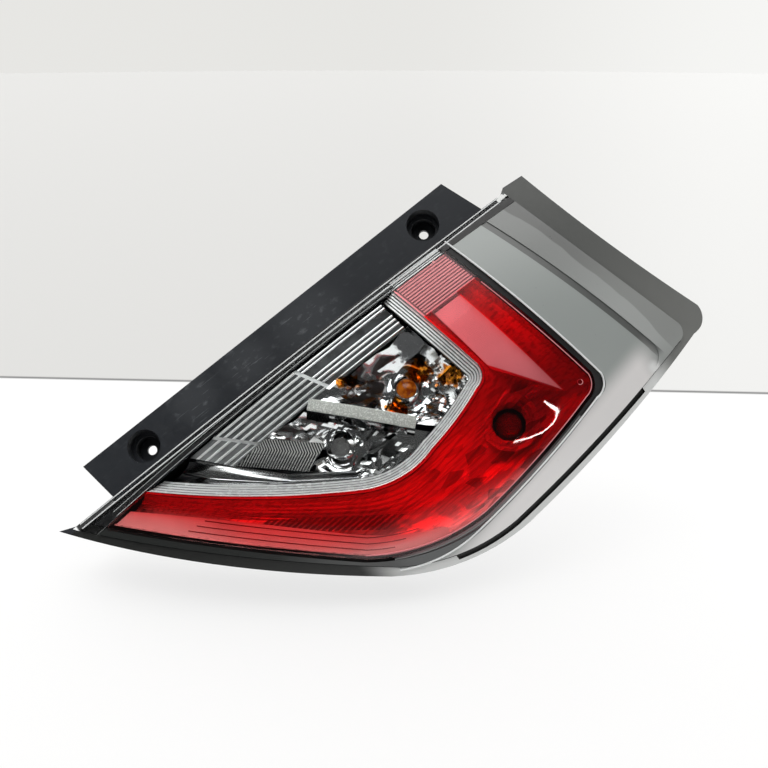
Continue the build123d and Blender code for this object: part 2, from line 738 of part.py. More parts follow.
# Wedge-base bulbs, pushed into their holders
bulb_names = ["turn_bulb", "reverse_bulb", "stop_tail_bulb"]
for place, name in zip(holder_places, bulb_names):
    base = holder_plane(place)
    out_axis = Axis(base.origin, face.z_dir)
    with BuildPart() as bulb:
        with BuildSketch(base.offset(barrel_top)):
            Rectangle(WEDGE[0], WEDGE[1])
        extrude(amount=WEDGE[2])
        with BuildSketch(upright(place)):
            foot = -FLOOR_DEPTH - barrel_top + FIT_GAP
            neck = foot + BULB_NECK
            tip = foot + BULB_LENGTH
            with BuildLine():
                Line((0, foot), (BULB_NECK_D / 2, foot))
                Line((BULB_NECK_D / 2, foot), (BULB_D / 2, neck))
                Line((BULB_D / 2, neck), (BULB_D / 2, tip - BULB_D / 2))
                RadiusArc((BULB_D / 2, tip - BULB_D / 2), (0, tip), -BULB_D / 2)
                Line((0, tip), (0, foot))
            make_face()
        revolve(axis=out_axis)
        with BuildSketch(base.offset(barrel_top)):
            Rectangle(WEDGE[0], WEDGE[1])
        extrude(amount=-BULB_NECK)
    finish(bulb, name)

# Sealing rings and contact blades, one set to each holder
with BuildPart() as holder_seals:
    for place in holder_places:
        with BuildSketch(holder_plane(place)):
            Circle(HOLDER_FLANGE_D / 2 - SIDE_GAP)
            Circle(HOLDER_FLANGE_D / 2 - SIDE_GAP - SEAL_WIDTH, mode=Mode.SUBTRACT)
        extrude(amount=SEAL_WALL)
finish(holder_seals, "holder_seals")

with BuildPart() as contact_blades:
    for place in holder_places:
        with BuildSketch(holder_plane(place).offset(plug_root + PLUG_LENGTH - PLUG_CAVITY)):
            with GridLocations(BLADE_PITCH, 0, 2, 1):
                Rectangle(BLADE[0], BLADE[1])
        extrude(amount=BLADE[2])
finish(contact_blades, "contact_blades")

# Locating pins that push into grommets in the body
for place, name in ((PIN_UPPER, "locating_pin_upper"), (PIN_LOWER, "locating_pin_lower")):
    shank = upright(place)
    root = -SHOULDER_DEPTH
    shoulder = root - PIN_BASE_WALL
    ball = root - PIN_LENGTH
    with BuildPart() as pin:
        with BuildSketch(shank):
            with BuildLine():
                Polyline(
                    (0, root),
                    (PIN_BASE_D / 2, root),
                    (PIN_BASE_D / 2, shoulder),
                    (PIN_D / 2, shoulder),
                    (PIN_D / 2, ball),
                    (0, ball),
                    close=True,
                )
            make_face()
            with Locations((0, ball)):
                Circle(PIN_BALL_D / 2)
            split(bisect_by=Plane.YZ, keep=Keep.TOP)
        revolve(axis=Axis(shank.origin, face.z_dir))
    finish(pin, name)

# Vent cap in the box floor
with BuildPart() as breather_cap:
    vent = holder_plane(VENT_PLACE)
    with BuildSketch(vent):
        Circle(VENT_D / 2)
    extrude(amount=VENT_HEIGHT)
    with BuildSketch(vent):
        Circle(VENT_SPIGOT_D / 2)
    extrude(amount=-HOUSING_WALL)
    fillet(breather_cap.faces().sort_by(Axis(vent.origin, vent.z_dir))[-1].edges(), PLUG_WALL)
finish(breather_cap, "breather_cap")
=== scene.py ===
import math
import random

import bpy
from mathutils import Matrix, Vector


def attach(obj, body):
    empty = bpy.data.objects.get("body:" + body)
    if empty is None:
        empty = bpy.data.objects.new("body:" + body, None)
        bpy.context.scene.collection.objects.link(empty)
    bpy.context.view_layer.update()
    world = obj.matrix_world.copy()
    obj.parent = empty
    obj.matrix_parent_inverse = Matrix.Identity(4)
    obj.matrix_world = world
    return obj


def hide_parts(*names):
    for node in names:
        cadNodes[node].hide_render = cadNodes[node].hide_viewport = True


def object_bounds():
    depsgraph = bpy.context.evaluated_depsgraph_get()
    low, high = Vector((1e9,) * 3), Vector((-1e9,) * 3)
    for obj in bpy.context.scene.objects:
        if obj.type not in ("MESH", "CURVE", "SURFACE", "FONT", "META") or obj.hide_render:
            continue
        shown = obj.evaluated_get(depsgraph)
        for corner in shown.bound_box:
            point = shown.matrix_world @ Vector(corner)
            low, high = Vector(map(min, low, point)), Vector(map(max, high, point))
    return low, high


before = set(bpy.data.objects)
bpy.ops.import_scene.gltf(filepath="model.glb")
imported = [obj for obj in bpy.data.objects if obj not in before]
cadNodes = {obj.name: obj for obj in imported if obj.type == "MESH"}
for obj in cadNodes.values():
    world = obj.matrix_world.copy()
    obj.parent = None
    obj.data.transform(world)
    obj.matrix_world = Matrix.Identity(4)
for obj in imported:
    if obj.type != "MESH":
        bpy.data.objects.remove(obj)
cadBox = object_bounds()
print("frame loaded:", len(cadNodes), "nodes")

mm = 0.001
stance = {"lean": math.radians(32), "boltLine": math.radians(41.5)}
dome = {"crestOut": 58, "crestAcross": 70, "crestAlong": 2.5, "acrossRadius": 260, "alongRadius": 900}

# Outlines on the lens face in mm, across the lamp from the bolt line and then along it.
# Corners and bulges alternate, and None marks a straight run.
redOutline = [
    (10, -198), (97.6, -119.4), (162.4, -53.2), (182.5, -14.6), (189.8, 30), (184.6, 76),
    (173.2, 133.5), (169, 142.2), (159.5, 146.1), None, (10, 117.7), None,
]
bezelOutline = [
    (10, -162), (85, -84.5), (125, -29), (136.3, 3), (134, 28), (129.1, 52.8),
    (121.5, 76.5), (117.8, 83.8), (109.5, 86.9), None, (10, 71.3), None,
]


def faceAxes():
    lean, climb = stance["lean"], stance["boltLine"]
    across = Vector((math.sin(climb), -math.sin(lean) * math.cos(climb), -math.cos(lean) * math.cos(climb)))
    out = Vector((0, -math.cos(lean), math.sin(lean)))
    return across, out.cross(across), out


acrossWay, alongWay, outWay = faceAxes()
faceMatrix = Matrix((acrossWay, alongWay, outWay)).transposed().to_4x4()


def domeOut(across, along, depth=0):  # height of the lens face over the bolt seats, in mm
    swell = (dome["acrossRadius"] - depth) ** 2 - (across - dome["crestAcross"]) ** 2
    hub = dome["alongRadius"] - dome["acrossRadius"] + math.sqrt(swell)
    return dome["crestOut"] - dome["alongRadius"] + math.sqrt(hub ** 2 - (along - dome["crestAlong"]) ** 2)


def onFace(spot, depth):  # the place that lies depth below the lens face
    across, along = spot
    return across, along, domeOut(across, along, depth)


def between(ends, share):
    return ends[0] + (ends[1] - ends[0]) * share


def slanted(low, high, u, v):  # between two ends that each slant from one side to the other
    return between((between(low, u), between(high, u)), v)


def circleMiddle(start, bulge, end):
    a = Vector(start)
    ab, ac = Vector(bulge) - a, Vector(end) - a
    double = 2 * ab.cross(ac)
    return a + Vector((
        (ac.y * ab.length_squared - ab.y * ac.length_squared) / double,
        (ab.x * ac.length_squared - ac.x * ab.length_squared) / double,
    ))


def arcPoints(start, bulge, end, count):  # points from start up to, not with, end
    a, b, c = Vector(start), Vector(bulge or start), Vector(end)
    if bulge is None:
        return [a.lerp(c, i / count) for i in range(count)]
    middle = circleMiddle(start, bulge, end)
    spoke = a - middle
    swing = spoke.angle_signed(b - middle) + (b - middle).angle_signed(c - middle)  # clockwise
    return [middle + Matrix.Rotation(-swing * i / count, 2) @ spoke for i in range(count)]


def outlineSpans(stations, count):
    ends = stations[2::2] + stations[:1]
    return [arcPoints(a, b, c, count) for a, b, c in zip(stations[::2], stations[1::2], ends)]


class Val:  # a shader socket that can stand in a sum
    def __init__(self, paint, socket):
        self.paint, self.socket = paint, socket

    def maths(self, operation, *terms):
        return self.paint.add("ShaderNodeMath", {"operation": operation}, terms)

    def __add__(self, other):
        return self.maths("ADD", self, other)

    def __sub__(self, other):
        return self.maths("SUBTRACT", self, other)

    def __rsub__(self, other):
        return self.maths("SUBTRACT", other, self)

    def __mul__(self, other):
        return self.maths("MULTIPLY", self, other)

    def __truediv__(self, other):
        return self.maths("DIVIDE", self, other)

    def __rtruediv__(self, other):
        return self.maths("DIVIDE", other, self)

    def __abs__(self):
        return self.maths("ABSOLUTE", self)

    def root(self):
        return self.maths("SQRT", self)

    def sine(self):
        return self.maths("SINE", self)

    __radd__ = __add__
    __rmul__ = __mul__


def opaque(tone):  # a plain colour gets its alpha, and anything else stays as it is
    return (*tone, 1) if isinstance(tone, tuple) and len(tone) == 3 else tone


class Paint:  # one material, or the world, and its nodes
    def __init__(self, name, fixed, world=None):
        self.material = world or bpy.data.materials.new(name)
        self.material.use_nodes = True
        self.tree = self.material.node_tree
        self.shader = self.tree.nodes["Background" if world else "Principled BSDF"]
        for socket, value in fixed.items():
            self.shader.inputs[socket].default_value = opaque(value)

    def add(self, kind, settings=None, inputs=(), output=0):
        node = self.tree.nodes.new(kind)
        for key, value in (settings or {}).items():
            setattr(node, key, value)
        pairs = inputs.items() if isinstance(inputs, dict) else enumerate(inputs)
        for key, value in pairs:
            if isinstance(value, Val):
                self.tree.links.new(value.socket, node.inputs[key])
            else:
                node.inputs[key].default_value = value
        return Val(self, node.outputs[output])

    def feed(self, socket, value):
        self.tree.links.new(value.socket, self.shader.inputs[socket])

    def place(self):
        return self.add("ShaderNodeTexCoord", output="Object")

    def dot(self, spot, way):  # how far spot lies in a direction
        return self.add("ShaderNodeVectorMath", {"operation": "DOT_PRODUCT"}, (spot, way), 1)

    def ramp(self, value, low, high, toLow=0, toHigh=1):
        settings = {"interpolation_type": "SMOOTHSTEP"}
        return self.add("ShaderNodeMapRange", settings, (value, low, high, toLow, toHigh))

    def noise(self, scale, detail=3, spot=None):
        inputs = {"Vector": spot or self.place(), "Scale": scale, "Detail": detail}
        return self.add("ShaderNodeTexNoise", None, inputs)

    def cloud(self, scale, cut=(0.3, 0.7), detail=3, ends=(0, 1)):  # noise spread from one end to the other
        return self.ramp(self.noise(scale, detail), *cut, *ends)

    def wear(self, low, high, scale=60, detail=3):  # uneven polish
        self.feed("Roughness", self.cloud(scale, detail=detail, ends=(low, high)))

    def blend(self, mask, first, second):
        inputs = {0: mask, 6: opaque(first), 7: opaque(second)}
        return self.add("ShaderNodeMix", {"data_type": "RGBA"}, inputs, 2)

    def coats(self, tone, *layers):  # each layer is a mask and the tone that goes on there
        for mask, over in layers:
            tone = self.blend(mask, tone, over)
        return tone

    def bump(self, heightMap, strength, distance):
        inputs = {"Strength": strength, "Distance": distance, "Height": heightMap}
        self.feed("Normal", self.add("ShaderNodeBump", None, inputs))

    def shadeFilm(self, mask, tone, rough):  # a solid tone over part of a lens, used as painted shade
        over = self.add("ShaderNodeBsdfPrincipled", None, {"Base Color": opaque(tone), "Roughness": rough})
        mixed = self.add("ShaderNodeMixShader", None, (mask, Val(self, self.shader.outputs[0]), over))
        self.tree.links.new(mixed.socket, self.tree.nodes["Material Output"].inputs["Surface"])


class FacePaint(Paint):  # a material laid out in mm on the lens face
    def __init__(self, name, fixed):
        super().__init__(name, fixed)
        spot = self.place()
        self.across, self.along, self.out = (self.dot(spot, way / mm) for way in (acrossWay, alongWay, outWay))

    def faceNoise(self, scale, detail, stretch):  # drawn out across or along
        drawn = (self.across * stretch[0], self.along * stretch[1], self.out)
        return self.noise(scale, detail, self.add("ShaderNodeCombineXYZ", None, drawn))

    def underFace(self):  # mm below the lens face
        aside, beside = self.across - dome["crestAcross"], self.along - dome["crestAlong"]
        hub = (dome["acrossRadius"] ** 2 - aside * aside).root() + (dome["alongRadius"] - dome["acrossRadius"])
        return (hub * hub - beside * beside).root() + (dome["crestOut"] - dome["alongRadius"]) - self.out

    def inside(self, corners, soft):  # mask of a convex field, its corners counter-clockwise
        mask = 1
        for a, b in zip(corners, corners[1:] + corners[:1]):
            run = (Vector(b) - Vector(a)).normalized()
            side = (self.along - a[1]) * run.x - (self.across - a[0]) * run.y
            mask = self.ramp(side, -soft, soft) * mask
        return mask

    def reach(self, middle):  # distance in the face from a place
        spot = self.add("ShaderNodeCombineXYZ", None, (self.across, self.along))
        return self.add("ShaderNodeVectorMath", {"operation": "DISTANCE"}, (spot, (*middle, 0)), 1)

    def beyond(self, line):  # distance outside the circle through three places
        middle = circleMiddle(*line)
        return self.reach(middle) - (Vector(line[0]) - middle).length

    def spots(self, places, core, ragged=0):  # round patches, each full inside its core
        mask = 0
        for spotAcross, spotAlong, size in places:
            mask = self.ramp(self.reach((spotAcross, spotAlong)) + ragged, size, size * core) + mask
        return mask

    def patch(self, limits):  # 1 where every ramp has risen, each given by where it starts and ends
        mask = 1
        for way, rises in limits.items():
            for start, end in rises:
                mask = self.ramp(getattr(self, way), start, end) * mask
        return mask

    def patches(self, fields):
        return {name: self.patch(limits) for name, limits in fields.items()}


acrylic = {"ior": 1.49, "rough": (0.0, 0.03)}


def housingPlastic():
    # On the lip of the black housing, the grey strip along the top, its paler end and the pale rim down the right
    # side are painted reflection of the pale room, and the near-black slot is painted shade in its groove.
    tones = {
        "flange": (0.020, 0.023, 0.028), "strip": (0.066, 0.069, 0.065), "stripReflection": (0.180, 0.184, 0.175),
        "low": (0.014, 0.015, 0.014), "rim": (0.72, 0.73, 0.72), "slot": (0.004, 0.004, 0.004),
        "scuff": (0.36, 0.38, 0.40),
    }
    fields = {
        "lip": {"below": [(6, 4.5)], "across": [(18, 20)]}, "slot": {"below": [(2.3, 2.8)]},
        "rim": {"across": [(120, 160)], "along": [(-62, -34), (205, 180)]},
        "strip": {"along": [(-60, 20)]}, "stripReflection": {"across": [(60, 190)]},
        "flange": {"across": [(20, 18)], "out": [(21, 22.3)]},
    }
    scuffs = {
        "spots": [(-1, -34, 26), (4, 20, 40), (-4, -80, 26)], "core": 0.2,
        "faint": 0.045, "strong": 0.2, "haze": 0.06,
        "wisp": (0.3, 9, (0.8, 0.5)), "wispCut": (0.55, 0.8),
        "scratch": (1.1, 3, (1, 0.05)), "scratchCut": (0.66, 0.72),
    }
    polish = {"low": 0.36, "high": 0.5, "scale": 300, "detail": 4}
    grain = {"scale": 1600, "detail": 2, "strength": 0.12, "depth": 0.0003}
    paint = FacePaint("housingPlastic", {"Specular IOR Level": 0.5})
    paint.below = paint.underFace()
    field = paint.patches(fields)
    # painted reflection on the lip's strip and rim, painted shade in the slot
    strip = paint.blend(field["stripReflection"], tones["strip"], tones["stripReflection"])
    lip = paint.coats(
        tones["low"], (field["strip"], strip), (field["rim"], tones["rim"]), (field["slot"], tones["slot"]))
    rubbed = paint.spots(scuffs["spots"], scuffs["core"])
    wisps = paint.ramp(paint.faceNoise(*scuffs["wisp"]), *scuffs["wispCut"])
    scratches = paint.ramp(paint.faceNoise(*scuffs["scratch"]), *scuffs["scratchCut"])
    marks = (rubbed * scuffs["strong"] + scuffs["faint"]) * (wisps + scratches)
    worn = field["flange"] * (marks + rubbed * scuffs["haze"])
    paint.feed("Base Color", paint.coats(tones["flange"], (field["lip"], lip), (worn, tones["scuff"])))
    paint.wear(**polish)
    paint.bump(paint.noise(grain["scale"], grain["detail"]), grain["strength"], grain["depth"])
    return paint.material


def clearAcrylic():
    # painted shade: a dark film over the clear lens at its foot and its top end
    shadeFilm = {"tone": (0.03, 0.03, 0.03), "rough": 0.3, "share": 0.85}
    fields = {
        "foot": {"across": [(22.6, 21.8)], "along": [(-160, -166), (-196.5, -195.5)]},
        "top": {"across": [(27.2, 28)], "along": [(118, 122)]},
    }
    paint = FacePaint("clearAcrylic", {
        "Base Color": (0.97, 0.985, 0.98), "Transmission Weight": 1, "IOR": acrylic["ior"],
        "Specular Tint": (0, 0, 0),
    })
    paint.wear(*acrylic["rough"])
    field = paint.patches(fields)
    paint.shadeFilm((field["foot"] + field["top"]) * shadeFilm["share"], shadeFilm["tone"], shadeFilm["rough"])
    return paint.material


def redAcrylic():
    tones = {
        "deep": (0.86, 0.005, 0.010), "bright": (1, 0.007, 0.014), "limb": (0.46, 0.004, 0.008),
        "pink": (1, 0.36, 0.39), "pinkFar": (0.80, 0.34, 0.37), "band": (1, 0.43, 0.42),
        "ribs": (0.95, 0.45, 0.47),
    }
    # Over the satin panel the lens is painted pink, a painted reflection of the pale room over the real satin part.
    panel = {"corners": [(61.5, 85.5), (113.9, 91.6), (156.9, 122), (61, 108)], "soft": 0.5}
    ribbed = {"corners": [(33, 70), (61.5, 75), (61.5, 130), (33, 125)], "soft": 0.4}
    band = {
        "line": [(36, -158), (95, -98.5), (174, -9)],
        "rise": (0, 24), "riseShare": 0.7, "step": (-3, 3), "stepShare": 0.3, "end": (-7, 6), "endShare": 0.5,
    }
    # haze is painted reflection of the floor, a paler pink towards the lens's lower right edge
    haze = {"line": [(181.5, 85), (182, 28.6), (169.1, -29.7)], "rise": (-6, 2.5), "share": 0.75}
    fields = {
        "limb": {"along": [(30, 100)], "across": [(95, 150)]}, "band": {"along": [(10, -50)]},
        "bandEnd": {"along": [(-100, -150)]}, "haze": {"along": [(112, 60)]}, "pinkFar": {"across": [(70, 150)]},
    }
    depths = {"scale": 18, "cut": (0.35, 0.65)}
    paint = FacePaint("redAcrylic", {"Transmission Weight": 1, "IOR": acrylic["ior"]})
    field = paint.patches(fields)
    red = paint.blend(paint.cloud(**depths), tones["deep"], tones["bright"])
    outwards = paint.beyond(band["line"])
    low = paint.ramp(outwards, *band["rise"]) * band["riseShare"]
    low = (low + paint.ramp(outwards, *band["step"]) * band["stepShare"]) * field["band"]
    tail = paint.ramp(outwards, *band["end"]) * field["bandEnd"] * band["endShare"]
    # painted floor reflection near the right edge
    outer = paint.ramp(paint.beyond(haze["line"]), *haze["rise"]) * field["haze"] * haze["share"]
    pink = paint.blend(field["pinkFar"], tones["pink"], tones["pinkFar"])
    paint.feed("Base Color", paint.coats(
        red, (field["limb"], tones["limb"]), (low + tail + outer, tones["band"]),
        (paint.inside(**ribbed), tones["ribs"]), (paint.inside(**panel), pink)))
    paint.wear(*acrylic["rough"])
    return paint.material


def smokedPanel():
    # The panel tone is the garnish's own grey. Painted light lies over it: the step in tone at the crease, the far
    # tones that grow lighter to the right, the end tone and the pale band down the right side are painted reflection,
    # the scoop tone is a painted highlight, and the crease tone and the shade tones along the top are painted shade.
    tones = {
        "panel": (0.335, 0.36, 0.348), "upper": (0.205, 0.215, 0.208), "upperFar": (0.40, 0.415, 0.405),
        "shade": (0.105, 0.109, 0.105), "shadeFar": (0.30, 0.31, 0.30), "crease": (0.120, 0.125, 0.121),
        "band": (0.80, 0.78, 0.77), "end": (0.31, 0.325, 0.315), "scoopHighlight": (0.80, 0.81, 0.80),
        "foot": (0.020, 0.022, 0.021), "wedge": (0.055, 0.060, 0.060),
    }
    crease = {"line": [(30, 156), (98, 173.85), (168.2, 193.2)], "fold": (-2, 2), "width": (2.8, 2.4)}
    shade = {"line": [(28, 174), (70, 184.5), (160, 203)], "soft": (-0.6, 0.6), "ripple": 9, "rippleScale": 22}
    wedge = {"line": [(193.4, 36.7), (193.9, -4.3), (181.7, -40.3)], "soft": (0.4, -0.4)}
    scoopHighlight = {"place": (184, 186.5), "rise": (6.5, 1.5)}
    band = {"slant": 0.16, "rise": (190, 206)}
    foot = {"slant": 0.25, "rise": (-74, -88)}
    polish = {"scale": 400, "cut": (0, 1), "ends": (0.26, 0.34)}
    endShare = 0.8
    fields = {
        "far": {"across": [(65, 145)]}, "crease": {"across": [(182, 176)]}, "end": {"across": [(168, 188)]},
        "band": {"along": [(198, 176)]}, "wedge": {"along": [(52, 44)]},
    }
    paint = FacePaint("smokedPanel", {"Coat Weight": 1, "Coat Roughness": 0.02, "Coat IOR": acrylic["ior"]})
    field = paint.patches(fields)
    upper = paint.blend(field["far"], tones["upper"], tones["upperFar"])
    shaded = paint.blend(field["far"], tones["shade"], tones["shadeFar"])
    ripple = (paint.noise(shade["rippleScale"], 2) - 0.5) * shade["ripple"]
    off = paint.beyond(crease["line"])
    acrossBand = paint.across + paint.along * band["slant"]
    alongFoot = paint.along - paint.across * foot["slant"]
    # painted reflection, highlight and shade over the panel's grey
    paint.feed("Base Color", paint.coats(
        upper,
        (paint.ramp(off, *crease["fold"]), tones["panel"]),
        (paint.ramp(paint.beyond(shade["line"]) + ripple, *shade["soft"]), shaded),
        (paint.ramp(abs(off), *crease["width"]) * field["crease"], tones["crease"]),
        (field["end"] * endShare, tones["end"]),
        (paint.ramp(acrossBand, *band["rise"]) * field["band"], tones["band"]),
        (paint.ramp(paint.reach(scoopHighlight["place"]), *scoopHighlight["rise"]), tones["scoopHighlight"]),
        (paint.ramp(paint.beyond(wedge["line"]), *wedge["soft"]) * field["wedge"], tones["wedge"]),
        (paint.ramp(alongFoot, *foot["rise"]), tones["foot"]),
    ))
    paint.feed("Roughness", paint.cloud(**polish))
    return paint.material


def maskBlack():  # paler in the groove beside the red lens's lower corner
    tones = {"mask": (0.010, 0.010, 0.011), "groove": (0.22, 0.16, 0.165)}
    groove = {"across": [(150, 168)], "along": [(105, 60), (-45, -20)]}
    paint = FacePaint("maskBlack", {})
    paint.feed("Base Color", paint.blend(paint.patch(groove), tones["mask"], tones["groove"]))
    paint.wear(0.34, 0.46)
    return paint.material


def turnPlate():  # bright plate with painted reflections of its amber bulb in spots, and a patch of painted shade
    tones = {
        "plate": (0.88, 0.89, 0.90), "smoke": (0.085, 0.085, 0.088),
        "amber": (0.88, 0.30, 0.025), "brown": (0.33, 0.10, 0.02),
    }
    amberReflections = {
        "spots": [(80.7, 57.1, 10), (99.6, 70.8, 10), (50, 63.4, 5), (59, 12.1, 7), (92, 28, 9)], "core": 0.7,
        "ragged": 14, "raggedScale": 160,
    }
    mottle = {"scale": 230, "cut": (0.45, 0.6), "detail": 2}
    shadeSpot = {"place": (64, 66), "rise": (15, 11)}
    paint = FacePaint("turnPlate", {"Metallic": 1})
    ragged = (paint.noise(amberReflections["raggedScale"], 2) - 0.5) * amberReflections["ragged"]
    amberReflection = paint.blend(paint.cloud(**mottle), tones["amber"], tones["brown"])
    shadeMask = paint.ramp(paint.reach(shadeSpot["place"]) + ragged, *shadeSpot["rise"])
    glow = paint.spots(amberReflections["spots"], amberReflections["core"], ragged)
    paint.feed("Base Color", paint.coats(tones["plate"], (shadeMask, tones["smoke"]), (glow, amberReflection)))
    paint.wear(0.07, 0.11)
    return paint.material


def troughPlate():  # streaked plate, with dark cells round the stop bulb
    tones = {"light": (0.95, 0.93, 0.93), "streak": (0.60, 0.58, 0.58), "cell": (0.14, 0.13, 0.13)}
    streaks = {"noise": (0.5, 3, (1, 0.06)), "cut": (0.45, 0.65)}
    cells = {"scale": 0.2, "draw": 0.4, "middle": (152, 62), "rise": (58, 40), "cut": (0.31, 0.23), "share": 0.6}
    paint = FacePaint("troughPlate", {"Metallic": 0.3})
    streak = paint.ramp(paint.faceNoise(*streaks["noise"]), *streaks["cut"])
    spot = paint.add("ShaderNodeCombineXYZ", None, (paint.across, paint.along * cells["draw"]))
    cell = paint.add("ShaderNodeTexVoronoi", None, {"Vector": spot, "Scale": cells["scale"]}, "Color")
    near = paint.ramp(paint.reach(cells["middle"]), *cells["rise"])
    dark = paint.ramp(cell, *cells["cut"]) * near * cells["share"]
    paint.feed("Base Color", paint.coats(tones["light"], (streak, tones["streak"]), (dark, tones["cell"])))
    paint.wear(0.13, 0.19)
    return paint.material


def fanPlate():  # fine bowed lines, bright on dark
    tones = {"ground": (0.035, 0.037, 0.040), "line": (0.55, 0.55, 0.53)}
    lines = {"from": (57, -83), "run": (0.697, 0.717), "pitch": 1.9, "bow": 0.5, "middle": 12, "cut": (0.1, 0.7)}
    paint = FacePaint("fanPlate", {"Metallic": 0.6})
    aside, beside = paint.across - lines["from"][0], paint.along - lines["from"][1]
    down = aside * lines["run"][0] + beside * lines["run"][1]
    over = beside * lines["run"][0] - aside * lines["run"][1]
    turn = (down + abs(over - lines["middle"]) * lines["bow"]) * (2 * math.pi / lines["pitch"])
    paint.feed("Base Color", paint.blend(paint.ramp(turn.sine(), *lines["cut"]), tones["ground"], tones["line"]))
    paint.wear(0.15, 0.25)
    return paint.material


def speckledSatin():
    tones = {"ground": (0.46, 0.47, 0.44), "fleck": (0.74, 0.75, 0.71)}
    flecks = {"scale": 1100, "cut": (0.48, 0.62), "detail": 2}
    paint = Paint("speckledSatin", {"Metallic": 0.2})
    paint.feed("Base Color", paint.blend(paint.cloud(**flecks), tones["ground"], tones["fleck"]))
    paint.wear(0.35, 0.5)
    return paint.material


def platedFinish(name, rough, shade=1):
    tones = {"dull": (0.84, 0.85, 0.86), "keen": (0.93, 0.93, 0.93)}
    cloudScale, uneven = 50, (0.8, 1.2)
    paint = Paint(name, {"Metallic": 1})
    dull, keen = (tuple(shade * c for c in tones[look]) for look in ("dull", "keen"))
    paint.feed("Base Color", paint.blend(paint.cloud(cloudScale), dull, keen))
    paint.wear(rough * uneven[0], rough * uneven[1])
    return paint.material


def bulbGlass(name, tone, dark, clear):
    # bright and dark mottle painted into the glass stands in for glints on the bulb's facets
    paintedGlints = {"scale": 260, "cut": (0.4, 0.62), "detail": 2}
    paint = Paint(name, {"Transmission Weight": clear, "IOR": 1.45})
    paint.feed("Base Color", paint.blend(paint.cloud(**paintedGlints), tone, dark))
    paint.wear(0.02, 0.06)
    return paint.material


def plainFinish(name, tone, rough, metallic=0, grain=900, depth=0.00004, lift=1.25):
    coarser = {"cloud": 12, "polish": 6}  # times the grain
    uneven, bumpStrength = (0.85, 1.15), 0.2
    paint = Paint(name, {"Metallic": metallic})
    lighter = tuple(min(1, c * lift) for c in tone)
    paint.feed("Base Color", paint.blend(paint.cloud(grain / coarser["cloud"]), tone, lighter))
    paint.wear(rough * uneven[0], rough * uneven[1], grain / coarser["polish"])
    paint.bump(paint.noise(grain), bumpStrength, depth)
    return paint.material


glossy = 0.00001  # bump of a smooth moulding, in metres
plainLooks = {
    "silverPaint": dict(tone=(0.88, 0.89, 0.89), rough=0.25, metallic=0.2, lift=1.04),
    "frameLine": dict(tone=(0.075, 0.078, 0.080), rough=0.25),
    "diffuser": dict(tone=(0.86, 0.82, 0.82), rough=0.45, grain=500, lift=1.1),
    # painted reflection on the flute treads, a darker and a lighter copy, and painted highlight on their white beads
    "darkTread": dict(tone=(0.060, 0.062, 0.064), rough=0.15, depth=glossy, lift=1.9),
    "greyTread": dict(tone=(0.135, 0.14, 0.142), rough=0.15, depth=glossy, lift=1.7),
    "whiteBead": dict(tone=(0.96, 0.97, 0.97), rough=0.1, metallic=0.15, depth=glossy, lift=1.03),
    "grooveGrey": dict(tone=(0.20, 0.205, 0.205), rough=0.2),
    "ribGround": dict(tone=(0.16, 0.12, 0.12), rough=0.3),
    "bandLine": dict(tone=(0.16, 0.03, 0.03), rough=0.4),
    "foam": dict(tone=(0.022, 0.022, 0.023), rough=0.85, grain=1500, depth=0.0003),
    "rubber": dict(tone=(0.028, 0.028, 0.028), rough=0.6),
    "nylon": dict(tone=(0.075, 0.077, 0.080), rough=0.45),
    "paleNylon": dict(tone=(0.72, 0.71, 0.67), rough=0.4),
    "tinnedBrass": dict(tone=(0.66, 0.60, 0.44), rough=0.25, metallic=1),
    # white bars, and painted highlight lines on the lens edges and the groove lip
    "polishedEdge": dict(tone=(0.80, 0.82, 0.82), rough=0.12, depth=glossy, lift=1.05),
    "pinkBead": dict(tone=(0.72, 0.24, 0.26), rough=0.15, lift=1.1),
    # black sheets of painted shade under the clear border
    "glossBlack": dict(tone=(0.010, 0.010, 0.011), rough=0.12, depth=glossy),
}
# smokePlate is the plate darkened as painted shade
platedLooks = {
    "brightPlate": dict(rough=0.09), "satinPlate": dict(rough=0.16), "smokePlate": dict(rough=0.1, shade=0.38),
}
bulbLooks = {
    "amberGlass": dict(tone=(1.0, 0.25, 0.010), dark=(0.42, 0.06, 0.002), clear=0.5),
    "clearGlass": dict(tone=(0.97, 0.97, 0.96), dark=(0.80, 0.80, 0.80), clear=0.85),
}
finishes = {}
for mix in (housingPlastic, clearAcrylic, redAcrylic, smokedPanel, maskBlack, turnPlate, troughPlate, fanPlate,
            speckledSatin):
    finishes[mix.__name__] = mix()
for mix, looks in ((plainFinish, plainLooks), (platedFinish, platedLooks), (bulbGlass, bulbLooks)):
    for name, look in looks.items():
        finishes[name] = mix(name, **look)
print("finishes ready:", len(finishes))

cadFinish = {
    "clear_lens": "clearAcrylic", "red_lens": "redAcrylic", "grey_garnish": "smokedPanel",
    "inner_mask": "maskBlack", "silver_bezel": "satinPlate", "fluted_trim": "brightPlate",
    "ribbed_end": "brightPlate", "upper_diffuser": "diffuser", "lower_diffuser": "diffuser",
    "stop_tail_reflector": "brightPlate", "turn_reflector": "brightPlate", "reverse_reflector": "brightPlate",
    "reflector_shelf": "speckledSatin", "rear_housing": "housingPlastic", "body_gasket": "foam",
    "turn_bulb_holder": "nylon", "reverse_bulb_holder": "nylon", "stop_bulb_holder": "nylon",
    "turn_bulb": "amberGlass", "reverse_bulb": "clearGlass", "stop_tail_bulb": "clearGlass",
    "holder_seals": "rubber", "contact_blades": "tinnedBrass", "locating_pin_upper": "paleNylon",
    "locating_pin_lower": "paleNylon", "breather_cap": "rubber",
}
for node, finish in cadFinish.items():
    cadNodes[node].material_slots[0].material = finishes[finish]
for node in ("clear_lens", "red_lens", "turn_bulb", "reverse_bulb", "stop_tail_bulb"):
    cadNodes[node].visible_shadow = False
print("CAD nodes finished")


